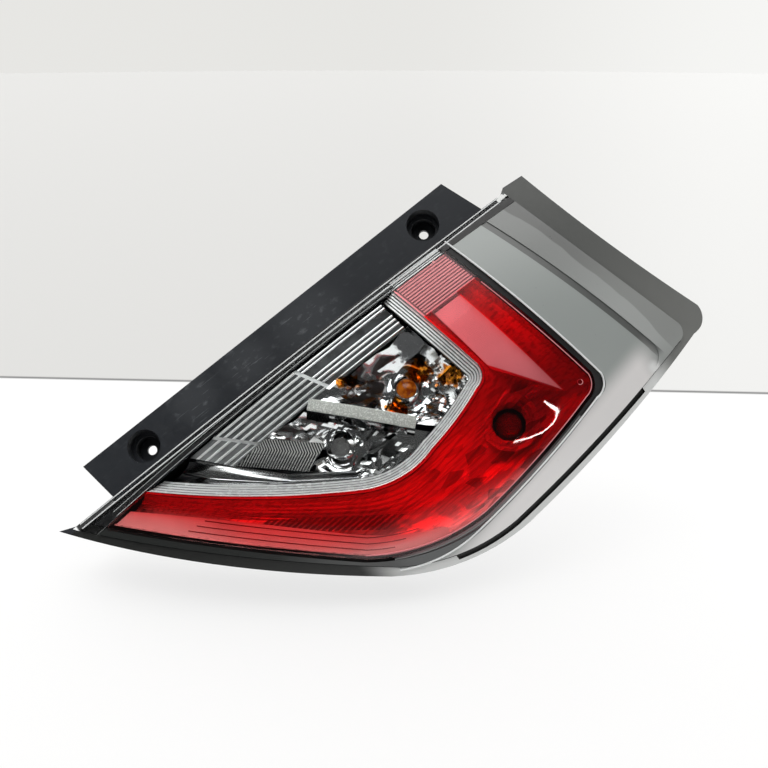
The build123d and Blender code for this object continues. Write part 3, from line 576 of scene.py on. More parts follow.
def deselect():
    if bpy.context.mode != "OBJECT":
        bpy.ops.object.mode_set(mode="OBJECT")
    bpy.ops.object.select_all(action="DESELECT")


def pick(piece):
    deselect()
    piece.select_set(True)
    bpy.context.view_layer.objects.active = piece


def added(name):  # the primitive that was just added
    piece = bpy.context.active_object
    piece.name = name
    return piece


def editAll(piece):
    pick(piece)
    bpy.ops.object.mode_set(mode="EDIT")
    bpy.ops.mesh.select_all(action="SELECT")


def applyModifier(piece, kind, **settings):
    pick(piece)
    modifier = piece.modifiers.new("shaping", kind)
    for key, value in settings.items():
        setattr(modifier, key, value)
    bpy.ops.object.modifier_apply(modifier=modifier.name)


def thicken(piece, wall, offset=-1):  # -1 puts the wall behind the face, 0 half on each side
    applyModifier(piece, "SOLIDIFY", thickness=wall, offset=offset)


def layGrid(name, columns, rows, lay):  # lay turns shares of the two sides into a place in face mm
    deselect()
    bpy.ops.mesh.primitive_grid_add(x_subdivisions=columns, y_subdivisions=rows, size=1)
    piece = added(name)
    for vertex in piece.data.vertices:
        vertex.co = lay(vertex.co.x + 0.5, vertex.co.y + 0.5)
    return piece


def dropFaces(piece, keep):  # delete the faces whose middles fail the test
    pick(piece)
    bpy.context.tool_settings.mesh_select_mode = (False, False, True)
    bpy.ops.object.mode_set(mode="EDIT")
    bpy.ops.mesh.select_all(action="DESELECT")
    bpy.ops.object.mode_set(mode="OBJECT")
    for polygon in piece.data.polygons:
        polygon.select = not keep(polygon.center.x, polygon.center.y)
    bpy.ops.object.mode_set(mode="EDIT")
    bpy.ops.mesh.delete(type="FACE")
    bpy.ops.object.mode_set(mode="OBJECT")


def joinAll(name, pieces):
    deselect()
    for piece in pieces:
        piece.select_set(True)
    bpy.context.view_layer.objects.active = pieces[0]
    bpy.ops.object.join()
    return added(name)


def roundLine(name, places, radius):
    curve = bpy.data.curves.new(name, "CURVE")
    curve.dimensions = "3D"
    curve.bevel_depth = radius
    spline = curve.splines.new("POLY")
    spline.points.add(len(places) - 1)
    for spot, place in zip(spline.points, places):
        spot.co = (*place, 1)
    piece = bpy.data.objects.new(name, curve)
    bpy.context.collection.objects.link(piece)
    return piece


def bead(name, points, radius, depth, sides=2):  # a round moulded line laid along points of the face
    piece = roundLine(name, [onFace(spot, depth) for spot in points], radius)
    piece.data.bevel_resolution = sides
    piece.data.use_fill_caps = True
    pick(piece)
    bpy.ops.object.convert(target="MESH")
    return bpy.context.active_object


def settle(piece, finish, slot, *nodes, smooth=30):  # from face mm to its place on the lamp
    pick(piece)
    bpy.ops.object.shade_smooth_by_angle(angle=math.radians(smooth))
    piece.matrix_world = faceMatrix @ Matrix.Scale(mm, 4)
    bpy.ops.object.transform_apply(location=True, rotation=True, scale=True)
    if not piece.data.materials:
        piece.data.materials.append(finishes[finish])
    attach(piece, "root")
    if nodes:
        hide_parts(*nodes)


def turnedRing(name, place, profile, sides, finish, slot, inside, wall=0.6):  # rings of (radius, out), joined
    deselect()
    bpy.ops.mesh.primitive_circle_add(vertices=sides, radius=profile[0][0])
    piece = added(name)
    for vertex in piece.data.vertices:
        vertex.co.z = profile[0][1]
    editAll(piece)
    for radius, out in profile[1:]:
        bpy.ops.mesh.extrude_edges_move(TRANSFORM_OT_translate={"value": (0, 0, 0)})
        bpy.ops.object.mode_set(mode="OBJECT")
        for vertex in piece.data.vertices:
            if vertex.select:
                vertex.co = Vector((*vertex.co.xy.normalized() * radius, out))
        bpy.ops.object.mode_set(mode="EDIT")
    bpy.ops.mesh.select_all(action="SELECT")
    bpy.ops.mesh.normals_make_consistent(inside=inside)
    bpy.ops.object.mode_set(mode="OBJECT")
    for vertex in piece.data.vertices:
        vertex.co += Vector((*place, 0))
    thicken(piece, wall)
    settle(piece, finish, slot, smooth=20)


def runOf(stations, spans, count):  # an open line through the given spans of an outline
    parts = outlineSpans(stations, count)
    points = [spot for span in spans for spot in parts[span]]
    ends = stations[2::2] + stations[:1]
    return points + [Vector(ends[spans[-1]])]


def shifted(points, gap):  # the line moved to its left by gap
    moved = []
    for i, spot in enumerate(points):
        way = points[min(i + 1, len(points) - 1)] - points[max(i - 1, 0)]
        moved.append(spot + Vector((-way.y, way.x)).normalized() * gap)
    return moved


def spread(points, share):  # a place along a line of points
    span = share * (len(points) - 1)
    i = min(int(span), len(points) - 2)
    return Vector(points[i]).lerp(Vector(points[i + 1]), span - i)


def sloped(line, across):  # how far along a straight line lies, where it crosses the face
    startAcross, startAlong, rise, run = line
    return startAlong + (across - startAcross) * rise / run


def edgeGap(across, along, loop):  # how far inside a bulging outline
    spot = Vector((across, along))
    return min((b - a).cross(spot - a) / (b - a).length for a, b in zip(loop, loop[1:] + loop[:1]))


bezelLoop = [spot for span in outlineSpans(bezelOutline, 6) for spot in span]


# Stepped bright frame round the window
bezel = {
    "inset": -1.4, "steps": 6, "tread": 1.2, "riser": 0.6, "drop": 1.5, "depth": 3.7, "wall": 0.8, "openAt": 33.3,
    "samples": 12, "flat": 0.8,
}


def buildBezel():
    rim = [spot for span in outlineSpans(bezelOutline, bezel["samples"]) for spot in span]
    rim = shifted(rim + rim[:1], bezel["inset"])[:-1]
    deselect()
    bpy.ops.mesh.primitive_circle_add(vertices=len(rim), radius=1, fill_type="NGON")
    piece = added("bezelFrame")
    for vertex, spot in zip(piece.data.vertices, rim):
        vertex.co = (spot.x, spot.y, 0)
    bpy.context.tool_settings.mesh_select_mode = (False, False, True)
    editAll(piece)
    for step in range(bezel["steps"]):
        bpy.ops.mesh.inset(thickness=bezel["tread"])
        bpy.ops.mesh.inset(thickness=bezel["riser"], depth=-bezel["drop"])
    bpy.ops.mesh.delete(type="FACE")
    bpy.ops.mesh.select_all(action="SELECT")
    bpy.ops.mesh.bisect(plane_co=(bezel["openAt"], 0, 0), plane_no=(1, 0, 0), clear_inner=True)
    bpy.ops.object.mode_set(mode="OBJECT")
    for finish in ("silverPaint", "frameLine"):
        piece.data.materials.append(finishes[finish])
    for polygon in piece.data.polygons:
        polygon.material_index = int(abs(polygon.normal.z) < bezel["flat"])  # the risers get painted shade as the dark lines
    for vertex in piece.data.vertices:
        vertex.co.z += domeOut(vertex.co.x, vertex.co.y, bezel["depth"])
    thicken(piece, bezel["wall"])
    settle(piece, "silverPaint", "silver_bezel", "silver_bezel", smooth=20)


# Bright beads down the flange side of the window, on dark falling treads, in three banks. The white beads are painted
# highlight, and the darker and lighter treads are painted reflection.
flutes = {
    "across": (33.6, 56.2), "half": 0.8, "swell": 1.3, "depth": 4.9, "fall": 11.5, "wall": 0.6, "stepColumns": 12,
    "section": (-1, -0.85, -0.5, 0, 0.5, 0.85, 1),
    "banks": [  # looks are the treads' and the beads'
        {"low": (-104, -84.5), "high": (-84.5, -62), "sink": 2.2, "rows": 6, "looks": ("greyTread", "whiteBead"),
         "beads": (0.16, 0.36, 0.57, 0.78, 0.93)},
        {"low": (-82, -59.5), "high": (-14, -1), "sink": 0, "rows": 16, "looks": ("darkTread", "whiteBead"),
         "beads": (0.06, 0.22, 0.40, 0.57, 0.75, 0.92)},
        {"low": (-11, 2), "high": (63, 66.5), "sink": 1.6, "rows": 16, "looks": ("darkTread", "brightPlate"),
         "beads": (0.06, 0.17, 0.47, 0.60, 0.74, 0.92)},
    ],
}


def fluteBank(bank):
    start, end = flutes["across"]
    middles = [between(flutes["across"], share) for share in bank["beads"]]
    marks = [start] + [c + flutes["half"] * k for c in middles for k in flutes["section"]] + [end]

    def lay(u, v):
        across = marks[round(u * (len(marks) - 1))]
        share = (across - start) / (end - start)
        off = min(abs(across - c) for c in middles) / flutes["half"]
        rise = flutes["swell"] * math.sqrt(max(0, 1 - off ** 2))
        depth = flutes["depth"] + flutes["swell"] + bank["sink"] + flutes["fall"] * share
        return onFace((across, slanted(bank["low"], bank["high"], share, v)), depth - rise)

    piece = layGrid("fluteBank", len(marks) - 1, bank["rows"], lay)
    for finish in bank["looks"]:
        piece.data.materials.append(finishes[finish])
    for polygon in piece.data.polygons:
        polygon.material_index = int(min(abs(polygon.center.x - c) for c in middles) < flutes["half"])
    return piece


def fluteStep(below, above):  # the bright step from one bank to the next
    def lay(u, v):
        sink = between((below["sink"], above["sink"]), v)
        depth = flutes["depth"] + flutes["swell"] + sink + flutes["fall"] * u
        return onFace((between(flutes["across"], u), slanted(below["high"], above["low"], u, v)), depth)

    piece = layGrid("fluteStep", flutes["stepColumns"], 1, lay)
    piece.data.materials.append(finishes["polishedEdge"])
    return piece


def buildFlutes():
    banks = flutes["banks"]
    pieces = [fluteBank(bank) for bank in banks] + [fluteStep(*pair) for pair in zip(banks, banks[1:])]
    piece = joinAll("windowFlutes", pieces)
    thicken(piece, flutes["wall"])
    settle(piece, "brightPlate", "fluted_trim", "fluted_trim", smooth=35)


# Cut-crystal bowls round the turn and reversing bulbs, either side of the shelf.
# A line is where it starts, across and along, and then its rise over its run.
bowlLines = {"shelf": (57, -19, 49, 56), "fan": (56.5, -56, 1.05, 1), "sweep": (56, -74, 0.78, 1)}
turnBowl = {
    "name": "turnBowl", "bulb": (86, 42), "hole": 12.5, "across": (56.3, 132), "cells": (10, 9), "fine": 4,
    "shift": 1.3, "tilt": 1.7, "swell": (0.2, 0.9), "floor": 7, "reach": 46, "depth": 13, "seed": 11, "inset": 8.5,
    "hood": [(14.6, 12.2), (12.2, 15.4), (9.6, 17.4), (7.2, 18.6)], "finish": "turnPlate", "slot": "turn_reflector",
    "shelfGap": 3, "shelfClear": 3.5, "end": 84,
}
reverseBowl = {
    "name": "reverseBowl", "bulb": (89, -20), "hole": 12.5, "across": (56.3, 134), "cells": (10, 9), "fine": 4,
    "shift": 1.3, "tilt": 1.4, "swell": (0.2, 0.8), "floor": 7, "reach": 42, "depth": 15, "seed": 23, "inset": 8.5,
    "hood": [(14.6, 12.4), (12.2, 15.4), (9.4, 17.4), (7.0, 18.6)], "finish": "brightPlate",
    "slot": "reverse_reflector", "shelfGap": -5, "end": -95, "fanTo": 86,
}
bowlShell = {"flare": 1.5, "wall": 0.5, "hoodSides": 16}


def turnField(across):
    return sloped(bowlLines["shelf"], across) + turnBowl["shelfGap"], turnBowl["end"]


def reverseField(across):
    return reverseBowl["end"], sloped(bowlLines["shelf"], across) + reverseBowl["shelfGap"]


def overShelf(across, along):
    return along > sloped(bowlLines["shelf"], across) + turnBowl["shelfClear"]


def overFan(across, along):
    line = "fan" if across < reverseBowl["fanTo"] else "sweep"
    return along > sloped(bowlLines[line], across)


def clearOf(middle, gap, across, along):
    return (Vector((across, along)) - Vector(middle)).length > gap


def buildBowl(cut, field, keep):
    seed = random.Random(cut["seed"])
    wide, tall = cut["cells"]
    jogs = {(i, j): Vector((seed.uniform(-1, 1) * cut["shift"], seed.uniform(-1, 1) * cut["shift"],
                            seed.uniform(-1, 1) * cut["tilt"])) for i in range(wide + 1) for j in range(tall + 1)}
    swells = {(i, j): seed.choice((-1, 1)) * seed.uniform(*cut["swell"]) for i in range(wide) for j in range(tall)}

    def lay(u, v):
        i, j = min(int(u * wide), wide - 1), min(int(v * tall), tall - 1)
        a, b = u * wide - i, v * tall - j
        jog = jogs[i, j].lerp(jogs[i + 1, j], a).lerp(jogs[i, j + 1].lerp(jogs[i + 1, j + 1], a), b)
        across = between(cut["across"], u)
        along = between(field(across), v)
        away = math.hypot(across - cut["bulb"][0], along - cut["bulb"][1]) / cut["reach"]
        rim = domeOut(across, along, cut["depth"])
        out = between((cut["floor"], rim), min(1, away) ** bowlShell["flare"])
        pillow = swells[i, j] * 16 * a * (1 - a) * b * (1 - b)  # full in the middle of a cell
        return across + jog.x, along + jog.y, out + jog.z + pillow

    piece = layGrid(cut["name"], wide * cut["fine"], tall * cut["fine"], lay)
    dropFaces(piece, lambda a, b: keep(a, b) and edgeGap(a, b, bezelLoop) > cut["inset"]
              and clearOf(cut["bulb"], cut["hole"], a, b))
    thicken(piece, bowlShell["wall"])
    settle(piece, cut["finish"], cut["slot"], cut["slot"], smooth=6)
    turnedRing(cut["name"] + "Hood", cut["bulb"], cut["hood"], bowlShell["hoodSides"], cut["finish"], cut["slot"],
               inside=False)


# Smooth sweep under the reverse bowl, with the fine herringbone fan above it
sweep = {
    "top": [(33.5, -105), (56, -85.5), (86, -58), (112, -22)], "openAt": 33.5, "depth": 13, "sink": 12,
    "inset": 7.5, "wall": 0.5, "overrun": 1.08, "fullness": 0.8, "samples": 40, "grid": (36, 14),
}
fan = {
    "corners": [(57, -83), (92, -47), (86, -26), (56.5, -57)], "ridges": 26, "fine": 6, "rows": 12, "rise": 0.8,
    "depth": (19, 11), "bow": 2.4, "wall": 0.5,
}


def buildSweep():
    foot = shifted(runOf(bezelOutline, [0], sweep["samples"]), sweep["inset"])
    foot = [spot for spot in foot if spot.x > sweep["openAt"]]

    def lay(u, v):
        spot = spread(foot, u).lerp(spread(sweep["top"], u), v)
        hollow = math.sin(math.pi * min(1, v * sweep["overrun"])) ** sweep["fullness"]
        return onFace(spot, sweep["depth"] + sweep["sink"] * hollow)

    piece = layGrid("lowerSweep", *sweep["grid"], lay)
    thicken(piece, sweep["wall"])
    settle(piece, "brightPlate", "reverse_reflector", smooth=60)

    a, b, c, d = (Vector(corner) for corner in fan["corners"])

    def layFan(u, v):
        spot = a.lerp(b, u).lerp(d.lerp(c, u), v)
        turn = (u * fan["ridges"] + fan["bow"] * abs(2 * v - 1)) % 1
        return onFace(spot, between(fan["depth"], v) - fan["rise"] * (1 - abs(2 * turn - 1)))

    piece = layGrid("herringboneFan", fan["ridges"] * fan["fine"], fan["rows"], layFan)
    thicken(piece, fan["wall"])
    settle(piece, "fanPlate", "reverse_reflector", smooth=10)


# Speckled bar between the bowls, and the stepped front under it
shelf = {
    "start": (57, -19), "end": (113, 30), "width": 8.4, "wall": 3, "depth": 10.5, "bevel": 0.5, "grid": (24, 4),
    "steps": 14, "stepFine": 3, "frontRows": 4, "frontWall": 0.5, "seed": 5, "lean": 1.5,
    "tuck": 0.4, "reach": 4, "sink": 1.5, "fall": 6, "joltFrom": 0.3,
}


def buildShelf():
    a, b = Vector(shelf["start"]), Vector(shelf["end"])
    along = (b - a).normalized()
    side = Vector((-along.y, along.x))

    def layTop(u, v):
        return onFace(a.lerp(b, u) + side * shelf["width"] * (v - 0.5), shelf["depth"])

    top = layGrid("shelfBar", *shelf["grid"], layTop)
    thicken(top, shelf["wall"])
    applyModifier(top, "BEVEL", width=shelf["bevel"], segments=2, limit_method="ANGLE")
    settle(top, "speckledSatin", "reflector_shelf", "reflector_shelf", smooth=40)

    seed = random.Random(shelf["seed"])
    jolts = [(seed.uniform(-1, 1), seed.uniform(0, shelf["lean"])) for step in range(shelf["steps"] + 1)]

    def layFront(u, v):
        jolt, lean = jolts[min(int(u * shelf["steps"]), shelf["steps"] - 1)]
        spot = a.lerp(b, u) - side * (shelf["width"] / 2 - shelf["tuck"] + v * (shelf["reach"] + lean))
        return onFace(spot, shelf["depth"] + shelf["sink"] + shelf["fall"] * v + jolt * (v > shelf["joltFrom"]))

    front = layGrid("shelfFront", shelf["steps"] * shelf["stepFine"], shelf["frontRows"], layFront)
    thicken(front, shelf["frontWall"])
    # painted shade on the shelf's stepped front
    settle(front, "smokePlate", "reflector_shelf", smooth=20)


# Plated trough under the red lens: fine lines by the frame, loose facets further out
trough = {
    "spans": [0, 1, 2, 3, 4], "samples": 36, "across": 56, "edge": 2.6, "innerEdge": 1.5, "depth": 5, "sink": 13,
    "fullness": 0.7, "lineRise": 0.5, "lineRows": 4, "wall": 0.6, "openAt": 34, "bulb": (151, 81), "hole": 13.5,
    "collar": [(21, 0), (18, -2), (14, -9), (12.4, -9.5), (12.4, -13)], "collarDepth": 13, "collarSides": 12,
}
facets = {
    "rise": 1.5, "run": 4, "rows": 8, "draws": 12, "seed": 31, "from": 0.35, "fromSlope": 6, "to": 0.93, "toSlope": 8,
    "calm": 0.25, "calmFrom": 96,
}


def buildTrough():
    outer = shifted(runOf(redOutline, trough["spans"], trough["samples"]), trough["edge"])
    inner = shifted(runOf(bezelOutline, trough["spans"], trough["samples"]), -trough["innerEdge"])
    count = len(outer) - 1
    seed = random.Random(facets["seed"])
    bumps = {(i, j): seed.uniform(-1, 1) for i in range(count // facets["run"] + 2) for j in range(facets["draws"])}

    def lay(u, v):
        spot = spread(inner, u).lerp(spread(outer, u), v)
        depth = trough["depth"] + trough["sink"] * math.sin(math.pi * v) ** trough["fullness"]
        lines = trough["lineRise"] * abs(2 * ((v * trough["across"] / trough["lineRows"]) % 1) - 1)
        run, row = u * count / facets["run"], v * facets["rows"]
        i, j = int(run), int(row)
        a, b = run - i, row - j
        low = bumps[i, j] * (1 - a) + bumps[i + 1, j] * a
        high = bumps[i, j + 1] * (1 - a) + bumps[i + 1, j + 1] * a
        loose = max(0, min(1, (v - facets["from"]) * facets["fromSlope"]))
        loose *= max(0, min(1, (facets["to"] - v) * facets["toSlope"]))
        calm = facets["calm"] if spot.y > facets["calmFrom"] else 1
        depth += lines * (1 - loose) + loose * calm * facets["rise"] * (low * (1 - b) + high * b)
        return onFace(spot, depth)

    piece = layGrid("redTrough", count, trough["across"], lay)
    dropFaces(piece, lambda a, b: a > trough["openAt"] and clearOf(trough["bulb"], trough["hole"], a, b))
    thicken(piece, trough["wall"])
    settle(piece, "troughPlate", "stop_tail_reflector", "stop_tail_reflector", smooth=18)

    lift = domeOut(*trough["bulb"], trough["collarDepth"])
    profile = [(radius, lift + drop) for radius, drop in trough["collar"]]
    turnedRing("bulbCollar", trough["bulb"], profile, trough["collarSides"], "troughPlate", "stop_tail_reflector",
               inside=True)


# Ribbed end of the red lens's upper arm: fine bars on a dark ground, with a few more beside it in the clear border.
# Each end of a bar is its place at slantFrom across, and its slope.
ribs = {"low": (74.1, 0.1568), "high": (115.1, 0.19), "slantFrom": 10, "rows": 12}
armRibs = {"across": (33.6, 61.3), "count": 13, "bar": 1.0, "depth": 3.7, "wall": 1.0}
armGround = {"across": (33.6, 61.3), "count": 2, "bar": (61.3 - 33.6) / 2, "depth": 5.0, "wall": 1.0}
borderBars = {"across": (26.8, 32.6), "count": 4, "bar": 0.8, "depth": 3.3, "wall": 0.4}


def barRow(name, row):
    start, end = row["across"]
    bar, count = row["bar"], row["count"]
    pitch = (end - start - bar) / (count - 1)
    marks = [start + pitch * (i // 2) + bar * (i % 2) for i in range(2 * count)]

    def lay(u, v):
        spot = marks[round(u * (len(marks) - 1))]
        ends = [ribs[edge][0] + ribs[edge][1] * (spot - ribs["slantFrom"]) for edge in ("low", "high")]
        return onFace((spot, between(ends, v)), row["depth"])

    piece = layGrid(name, len(marks) - 1, ribs["rows"], lay)
    dropFaces(piece, lambda a, b: (a - start) % pitch < bar)
    thicken(piece, row["wall"])
    return piece


def buildRibs():
    settle(barRow("armRibs", armRibs), "polishedEdge", "ribbed_end", "ribbed_end")
    settle(barRow("ribGround", armGround), "ribGround", "ribbed_end")
    settle(barRow("borderBars", borderBars), "polishedEdge", "inner_mask")


# Dark slanted ribs and fine lines along the lower arm
slant = {
    "corners": [(101, -101), (156, -29), (149, -22), (95, -96)], "ribs": 20, "fine": 8, "rows": 8, "lean": 2.2,
    "bar": 0.55, "depth": 9.5, "wall": 0.8,
}
bandLines = {"insets": (6.5, 10.5, 14.5), "radius": 0.3, "depth": 5.85, "from": 72, "to": 168, "samples": 40}


def buildLowerArm():
    a, b, c, d = (Vector(corner) for corner in slant["corners"])

    def lay(u, v):
        spot = (a + (d - a) * v).lerp(b + (c - b) * v, u + slant["lean"] * v / slant["ribs"])
        return onFace(spot, slant["depth"])

    patch = layGrid("slantRibs", slant["ribs"] * slant["fine"], slant["rows"], lay)
    run, side = b - a, d - a

    def isBar(across, along):
        off = Vector((across, along)) - a
        v = run.cross(off) / run.cross(side)
        u = off.cross(side) / run.cross(side)
        return (u * slant["ribs"] - slant["lean"] * v) % 1 < slant["bar"]

    dropFaces(patch, isBar)
    thicken(patch, slant["wall"])
    settle(patch, "ribGround", "stop_tail_reflector", smooth=15)

    lines = []
    for inset in bandLines["insets"]:
        line = shifted(runOf(redOutline, [0, 1], bandLines["samples"]), inset)
        line = [spot for spot in line if bandLines["from"] < spot.x < bandLines["to"]]
        lines.append(bead("bandLine", line, bandLines["radius"], bandLines["depth"], 1))
    settle(joinAll("bandLines", lines), "bandLine", "lower_diffuser", smooth=60)


# Moulded edges: two rails down the flange side, the lip and rib of the groove, and the bead inside the red lens. The
# pale rails and lip are painted highlight on the edges.
lensEdge = [(22.5, 184), (25, 40), (17.5, -199)]
lipOutline = [
    (181.7, -40.3), (192.4, -12.5), (194.4, 15.4), (187.8, 78), (175.9, 139), (172.3, 148), (164.5, 151.4), None,
    (27, 126.4), None,
]
edgeSamples = {"flange": 60, "groove": 24}
rail = {"radius": 0.45, "insets": (0.7, 4.2), "depth": 0.1}
grooveLip = {"radius": 0.7, "depth": 0.1}
grooveRib = {"gap": -2.0, "radius": 0.65, "depth": 1.2, "along": (-40, 122)}
redBead = {"radius": 0.4, "inset": 2.4, "depth": 0.15, "from": 62}


def buildEdges():
    edge = arcPoints(*lensEdge, edgeSamples["flange"])
    rails = [bead("rail", shifted(edge[1:], gap), rail["radius"], rail["depth"]) for gap in rail["insets"]]
    settle(joinAll("edgeRails", rails), "polishedEdge", "clear_lens", smooth=60)

    line = runOf(lipOutline, [0, 1, 2, 3], edgeSamples["groove"])
    lip = bead("grooveLip", line, grooveLip["radius"], grooveLip["depth"])
    settle(lip, "polishedEdge", "grey_garnish", smooth=60)

    low, high = grooveRib["along"]
    line = shifted(runOf(redOutline, [1, 2, 3], edgeSamples["groove"]), grooveRib["gap"])
    rib = bead("grooveRib", [spot for spot in line if low < spot.y < high], grooveRib["radius"], grooveRib["depth"])
    settle(rib, "grooveGrey", "inner_mask", smooth=60)

    line = shifted(runOf(redOutline, [1, 2, 3, 4], edgeSamples["groove"]), redBead["inset"])
    line = [spot for spot in line if spot.x > redBead["from"]]
    settle(bead("redBead", line, redBead["radius"], redBead["depth"]), "pinkBead", "red_lens", smooth=60)


# Dark border under the clear lens, with its fine lines and turned-down skirt, and the ring mark on the red lens. The
# border and skirt are dark sheets of painted shade, and the pale fine lines are painted reflection.
border = {
    "across": (22.6, 33.0), "low": (-178, -168), "high": (176, 178), "depth": 3.9, "wall": 0.6, "grid": (8, 24),
    "lines": (28.0, 31.8), "lineRadius": 0.18, "lineDepth": 3.25, "lineRuns": 40,
}
skirt = {"inset": 3.9, "from": -150, "depth": (3.6, 20), "wall": 0.6, "grid": (16, 4)}
ringMark = {"place": (160.7, 135.4), "rings": [(2.1, -0.1), (1.85, 0.15), (1.6, -0.1)], "sides": 24, "wall": 0.1}


def buildBorder():
    def lay(u, v):
        return onFace((between(border["across"], u), slanted(border["low"], border["high"], u, v)), border["depth"])

    strip = layGrid("borderShade", *border["grid"], lay)
    thicken(strip, border["wall"])
    settle(strip, "glossBlack", "inner_mask", smooth=20)

    lines = []
    for across in border["lines"]:
        low, high = Vector((across, border["low"][1])), Vector((across, ribs["low"][0]))
        line = [low.lerp(high, i / border["lineRuns"]) for i in range(border["lineRuns"] + 1)]
        lines.append(bead("borderLine", line, border["lineRadius"], border["lineDepth"]))
    settle(joinAll("borderLines", lines), "polishedEdge", "inner_mask", smooth=60)

    edge = arcPoints(*lensEdge, edgeSamples["flange"])
    foot = [spot for spot in shifted(edge, skirt["inset"]) if spot.y < skirt["from"]]
    liner = layGrid("borderSkirt", *skirt["grid"], lambda u, v: onFace(spread(foot, u), between(skirt["depth"], v)))
    thicken(liner, skirt["wall"], offset=0)
    settle(liner, "glossBlack", "inner_mask", smooth=30)

    lift = domeOut(*ringMark["place"])
    rings = [(radius, lift + rise) for radius, rise in ringMark["rings"]]
    turnedRing("ringMark", ringMark["place"], rings, ringMark["sides"], "pinkBead", "red_lens", inside=False,
               wall=ringMark["wall"])


buildBezel()
buildFlutes()
print("frame and flutes built")
buildBowl(turnBowl, turnField, overShelf)
buildBowl(reverseBowl, reverseField, overFan)
buildSweep()
buildShelf()
print("window optics built")
buildTrough()
buildRibs()
buildLowerArm()
buildEdges()
buildBorder()
print("red trough, ribs and edges built")


# Floor, room, light and camera, in metres, with the camera's place in mm
studio = {"floorHalf": 9.0, "wallSides": 96}
floorLook = {  # two pale sheets that meet in a seam behind the lamp; the seam's dark line is painted shade where they meet, and the far sheet's tones are painted light of an upright wall
    "seam": [(-0.3877, 0.3071), (0.4546, 0.3287)], "seamWide": 0.006, "seamSoft": 0.001,
    "seamShade": (0.18, 0.18, 0.18), "front": (0.955, 0.955, 0.953),
    "left": (0.688, 0.685, 0.669), "right": (0.812, 0.812, 0.798), "albedo": 0.16, "glow": 0.80, "rough": 0.75,
    "grain": (500, 0.1, 0.0002),
}
room = {"radius": 8.6, "tall": 6, "left": (0.80, 0.795, 0.772), "right": (0.924, 0.924, 0.906)}
flag = {  # softens the floor's far edge in the lenses
    "radius": 1.05, "tall": 0.16, "low": (0.95, 0.95, 0.95), "high": (0.05, 0.05, 0.05), "back": 0.2,
}
brighten = (-0.1, 0.3)
keyLamp = {"tilt": 24, "turn": -20, "power": 0.9, "spread": 45}
sky = {"way": (0, 0.65, 0.76), "tone": (1, 0.995, 0.985), "rise": (0.1, 0.65), "glow": (0.05, 1.6)}
glint = {  # a bent light tube that the red lens mirrors
    "path": [(1.208, -1.191, 0.453), (1.258, -1.171, 0.391), (1.298, -1.155, 0.335), (1.313, -1.150, 0.300),
             (1.313, -1.161, 0.261), (1.299, -1.182, 0.222), (1.270, -1.212, 0.201), (1.207, -1.263, 0.209),
             (1.132, -1.314, 0.236)],
    "radius": 0.0075, "power": 26, "tone": (1, 0.98, 0.95),
}
view = {"place": (129.2159, -683.0184, 218.7116), "tilt": 70, "turn": 5, "lens": 45.94, "sensor": 36}


def sideGlow(paint, look):  # painted light: paler towards the right, as seen from the front
    x, y = (paint.add("ShaderNodeSeparateXYZ", None, (paint.place(),), way) for way in (0, 1))
    slope = (x - view["place"][0] * mm) / abs(y - view["place"][1] * mm)
    return paint.blend(paint.ramp(slope, *brighten), look["left"], look["right"])


def floorPaint():
    left, right = (Vector((x, y, 0)) for x, y in floorLook["seam"])
    run = (right - left).normalized()
    back = Vector((-run.y, run.x, 0))
    scale, strength, depth = floorLook["grain"]
    paint = Paint("floorPaint", {"Roughness": floorLook["rough"], "Emission Strength": floorLook["glow"]})
    behind = paint.dot(paint.place(), back) - back.dot(left)
    tone = paint.coats(
        floorLook["front"], (paint.ramp(behind, 0, floorLook["seamSoft"]), sideGlow(paint, floorLook)),
        (paint.ramp(abs(behind), floorLook["seamWide"], 0), floorLook["seamShade"]))
    paint.feed("Emission Color", tone)
    paint.feed("Base Color", paint.blend(floorLook["albedo"], (0, 0, 0), tone))
    paint.bump(paint.noise(scale), strength, depth)
    return paint.material


def hideFrom(piece, *rays):
    for ray in rays:
        setattr(piece, "visible_" + ray, False)


def glowWall(name, size, floorZ):  # an open round wall that only gives light
    deselect()
    bpy.ops.mesh.primitive_cylinder_add(
        vertices=studio["wallSides"], radius=size["radius"], depth=size["tall"], end_fill_type="NOTHING",
        location=(0, 0, floorZ + size["tall"] / 2))
    wall = added(name)
    bpy.ops.object.transform_apply(location=True)
    paint = Paint(name + "Glow", {
        "Base Color": (0, 0, 0), "Roughness": 1, "Specular IOR Level": 0, "Emission Strength": 1})
    wall.data.materials.append(paint.material)
    return wall, paint


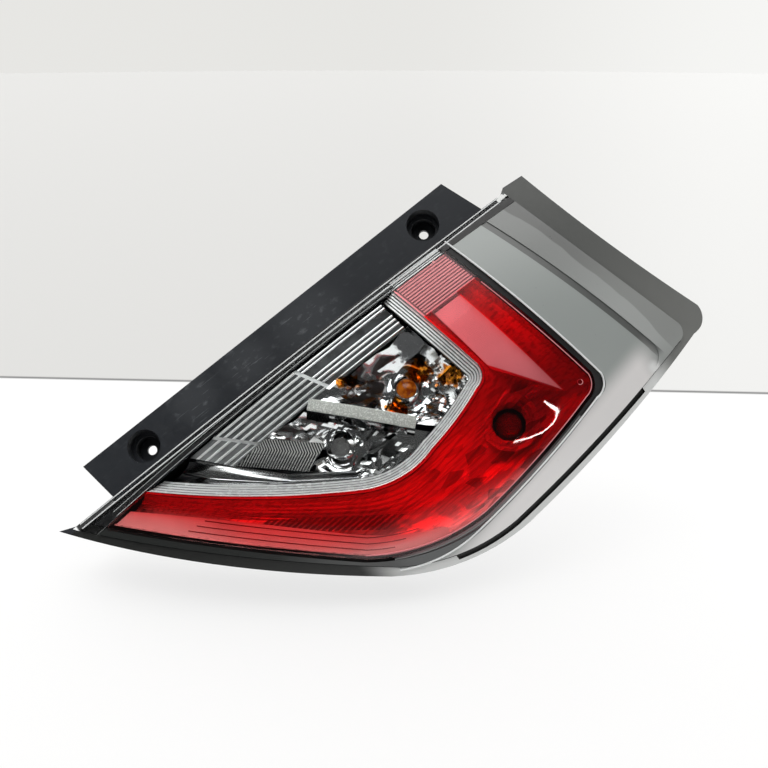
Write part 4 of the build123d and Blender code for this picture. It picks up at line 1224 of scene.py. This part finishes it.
def buildStudio():
    floorZ = cadBox[0][2]
    deselect()
    bpy.ops.mesh.primitive_plane_add(size=2 * studio["floorHalf"], location=(0, 0, floorZ))
    floor = added("studioFloor")
    floor.data.materials.append(floorPaint())
    bpy.ops.object.transform_apply(location=True)

    wall, paint = glowWall("studioRoom", room, floorZ)
    bpy.ops.object.shade_smooth()
    paint.feed("Emission Color", sideGlow(paint, room))
    hideFrom(wall, "diffuse", "glossy", "transmission", "shadow")

    card, paint = glowWall("softFlag", flag, floorZ)
    dropFaces(card, lambda x, y: y < flag["radius"] * flag["back"])
    lift = paint.add("ShaderNodeSeparateXYZ", None, (paint.place(),), 2)
    fade = paint.ramp(lift, floorZ, floorZ + flag["tall"])
    paint.feed("Emission Color", paint.blend(fade, flag["low"], flag["high"]))
    hideFrom(card, "camera", "diffuse", "transmission", "shadow")

    deselect()
    bpy.ops.object.light_add(type="SUN")
    key = added("keyLight")
    key.data.energy = keyLamp["power"]
    key.data.angle = math.radians(keyLamp["spread"])
    key.rotation_euler = (math.radians(keyLamp["tilt"]), 0, math.radians(keyLamp["turn"]))
    hideFrom(key, "glossy")  # the lenses mirror the room, not the lamp overhead

    tube = roundLine("lightTube", glint["path"], glint["radius"])
    paint = Paint("tubeGlow", {"Emission Color": glint["tone"], "Emission Strength": glint["power"]})
    tube.data.materials.append(paint.material)
    hideFrom(tube, "camera", "shadow", "diffuse")

    world = bpy.data.worlds.new("softRoom")
    bpy.context.scene.world = world
    paint = Paint("softRoom", {"Color": sky["tone"]}, world)
    facing = paint.dot(paint.add("ShaderNodeTexCoord", output="Generated"), Vector(sky["way"]).normalized())
    paint.feed("Strength", paint.ramp(facing, *sky["rise"], *sky["glow"]))

    deselect()
    bpy.ops.object.camera_add(location=Vector(view["place"]) * mm)
    camera = added("photoCamera")
    camera.rotation_euler = (math.radians(view["tilt"]), 0, math.radians(view["turn"]))
    camera.data.lens, camera.data.sensor_width = view["lens"], view["sensor"]
    bpy.context.scene.camera = camera
    bpy.context.scene.view_settings.view_transform = "Standard"


buildStudio()
print("studio ready")
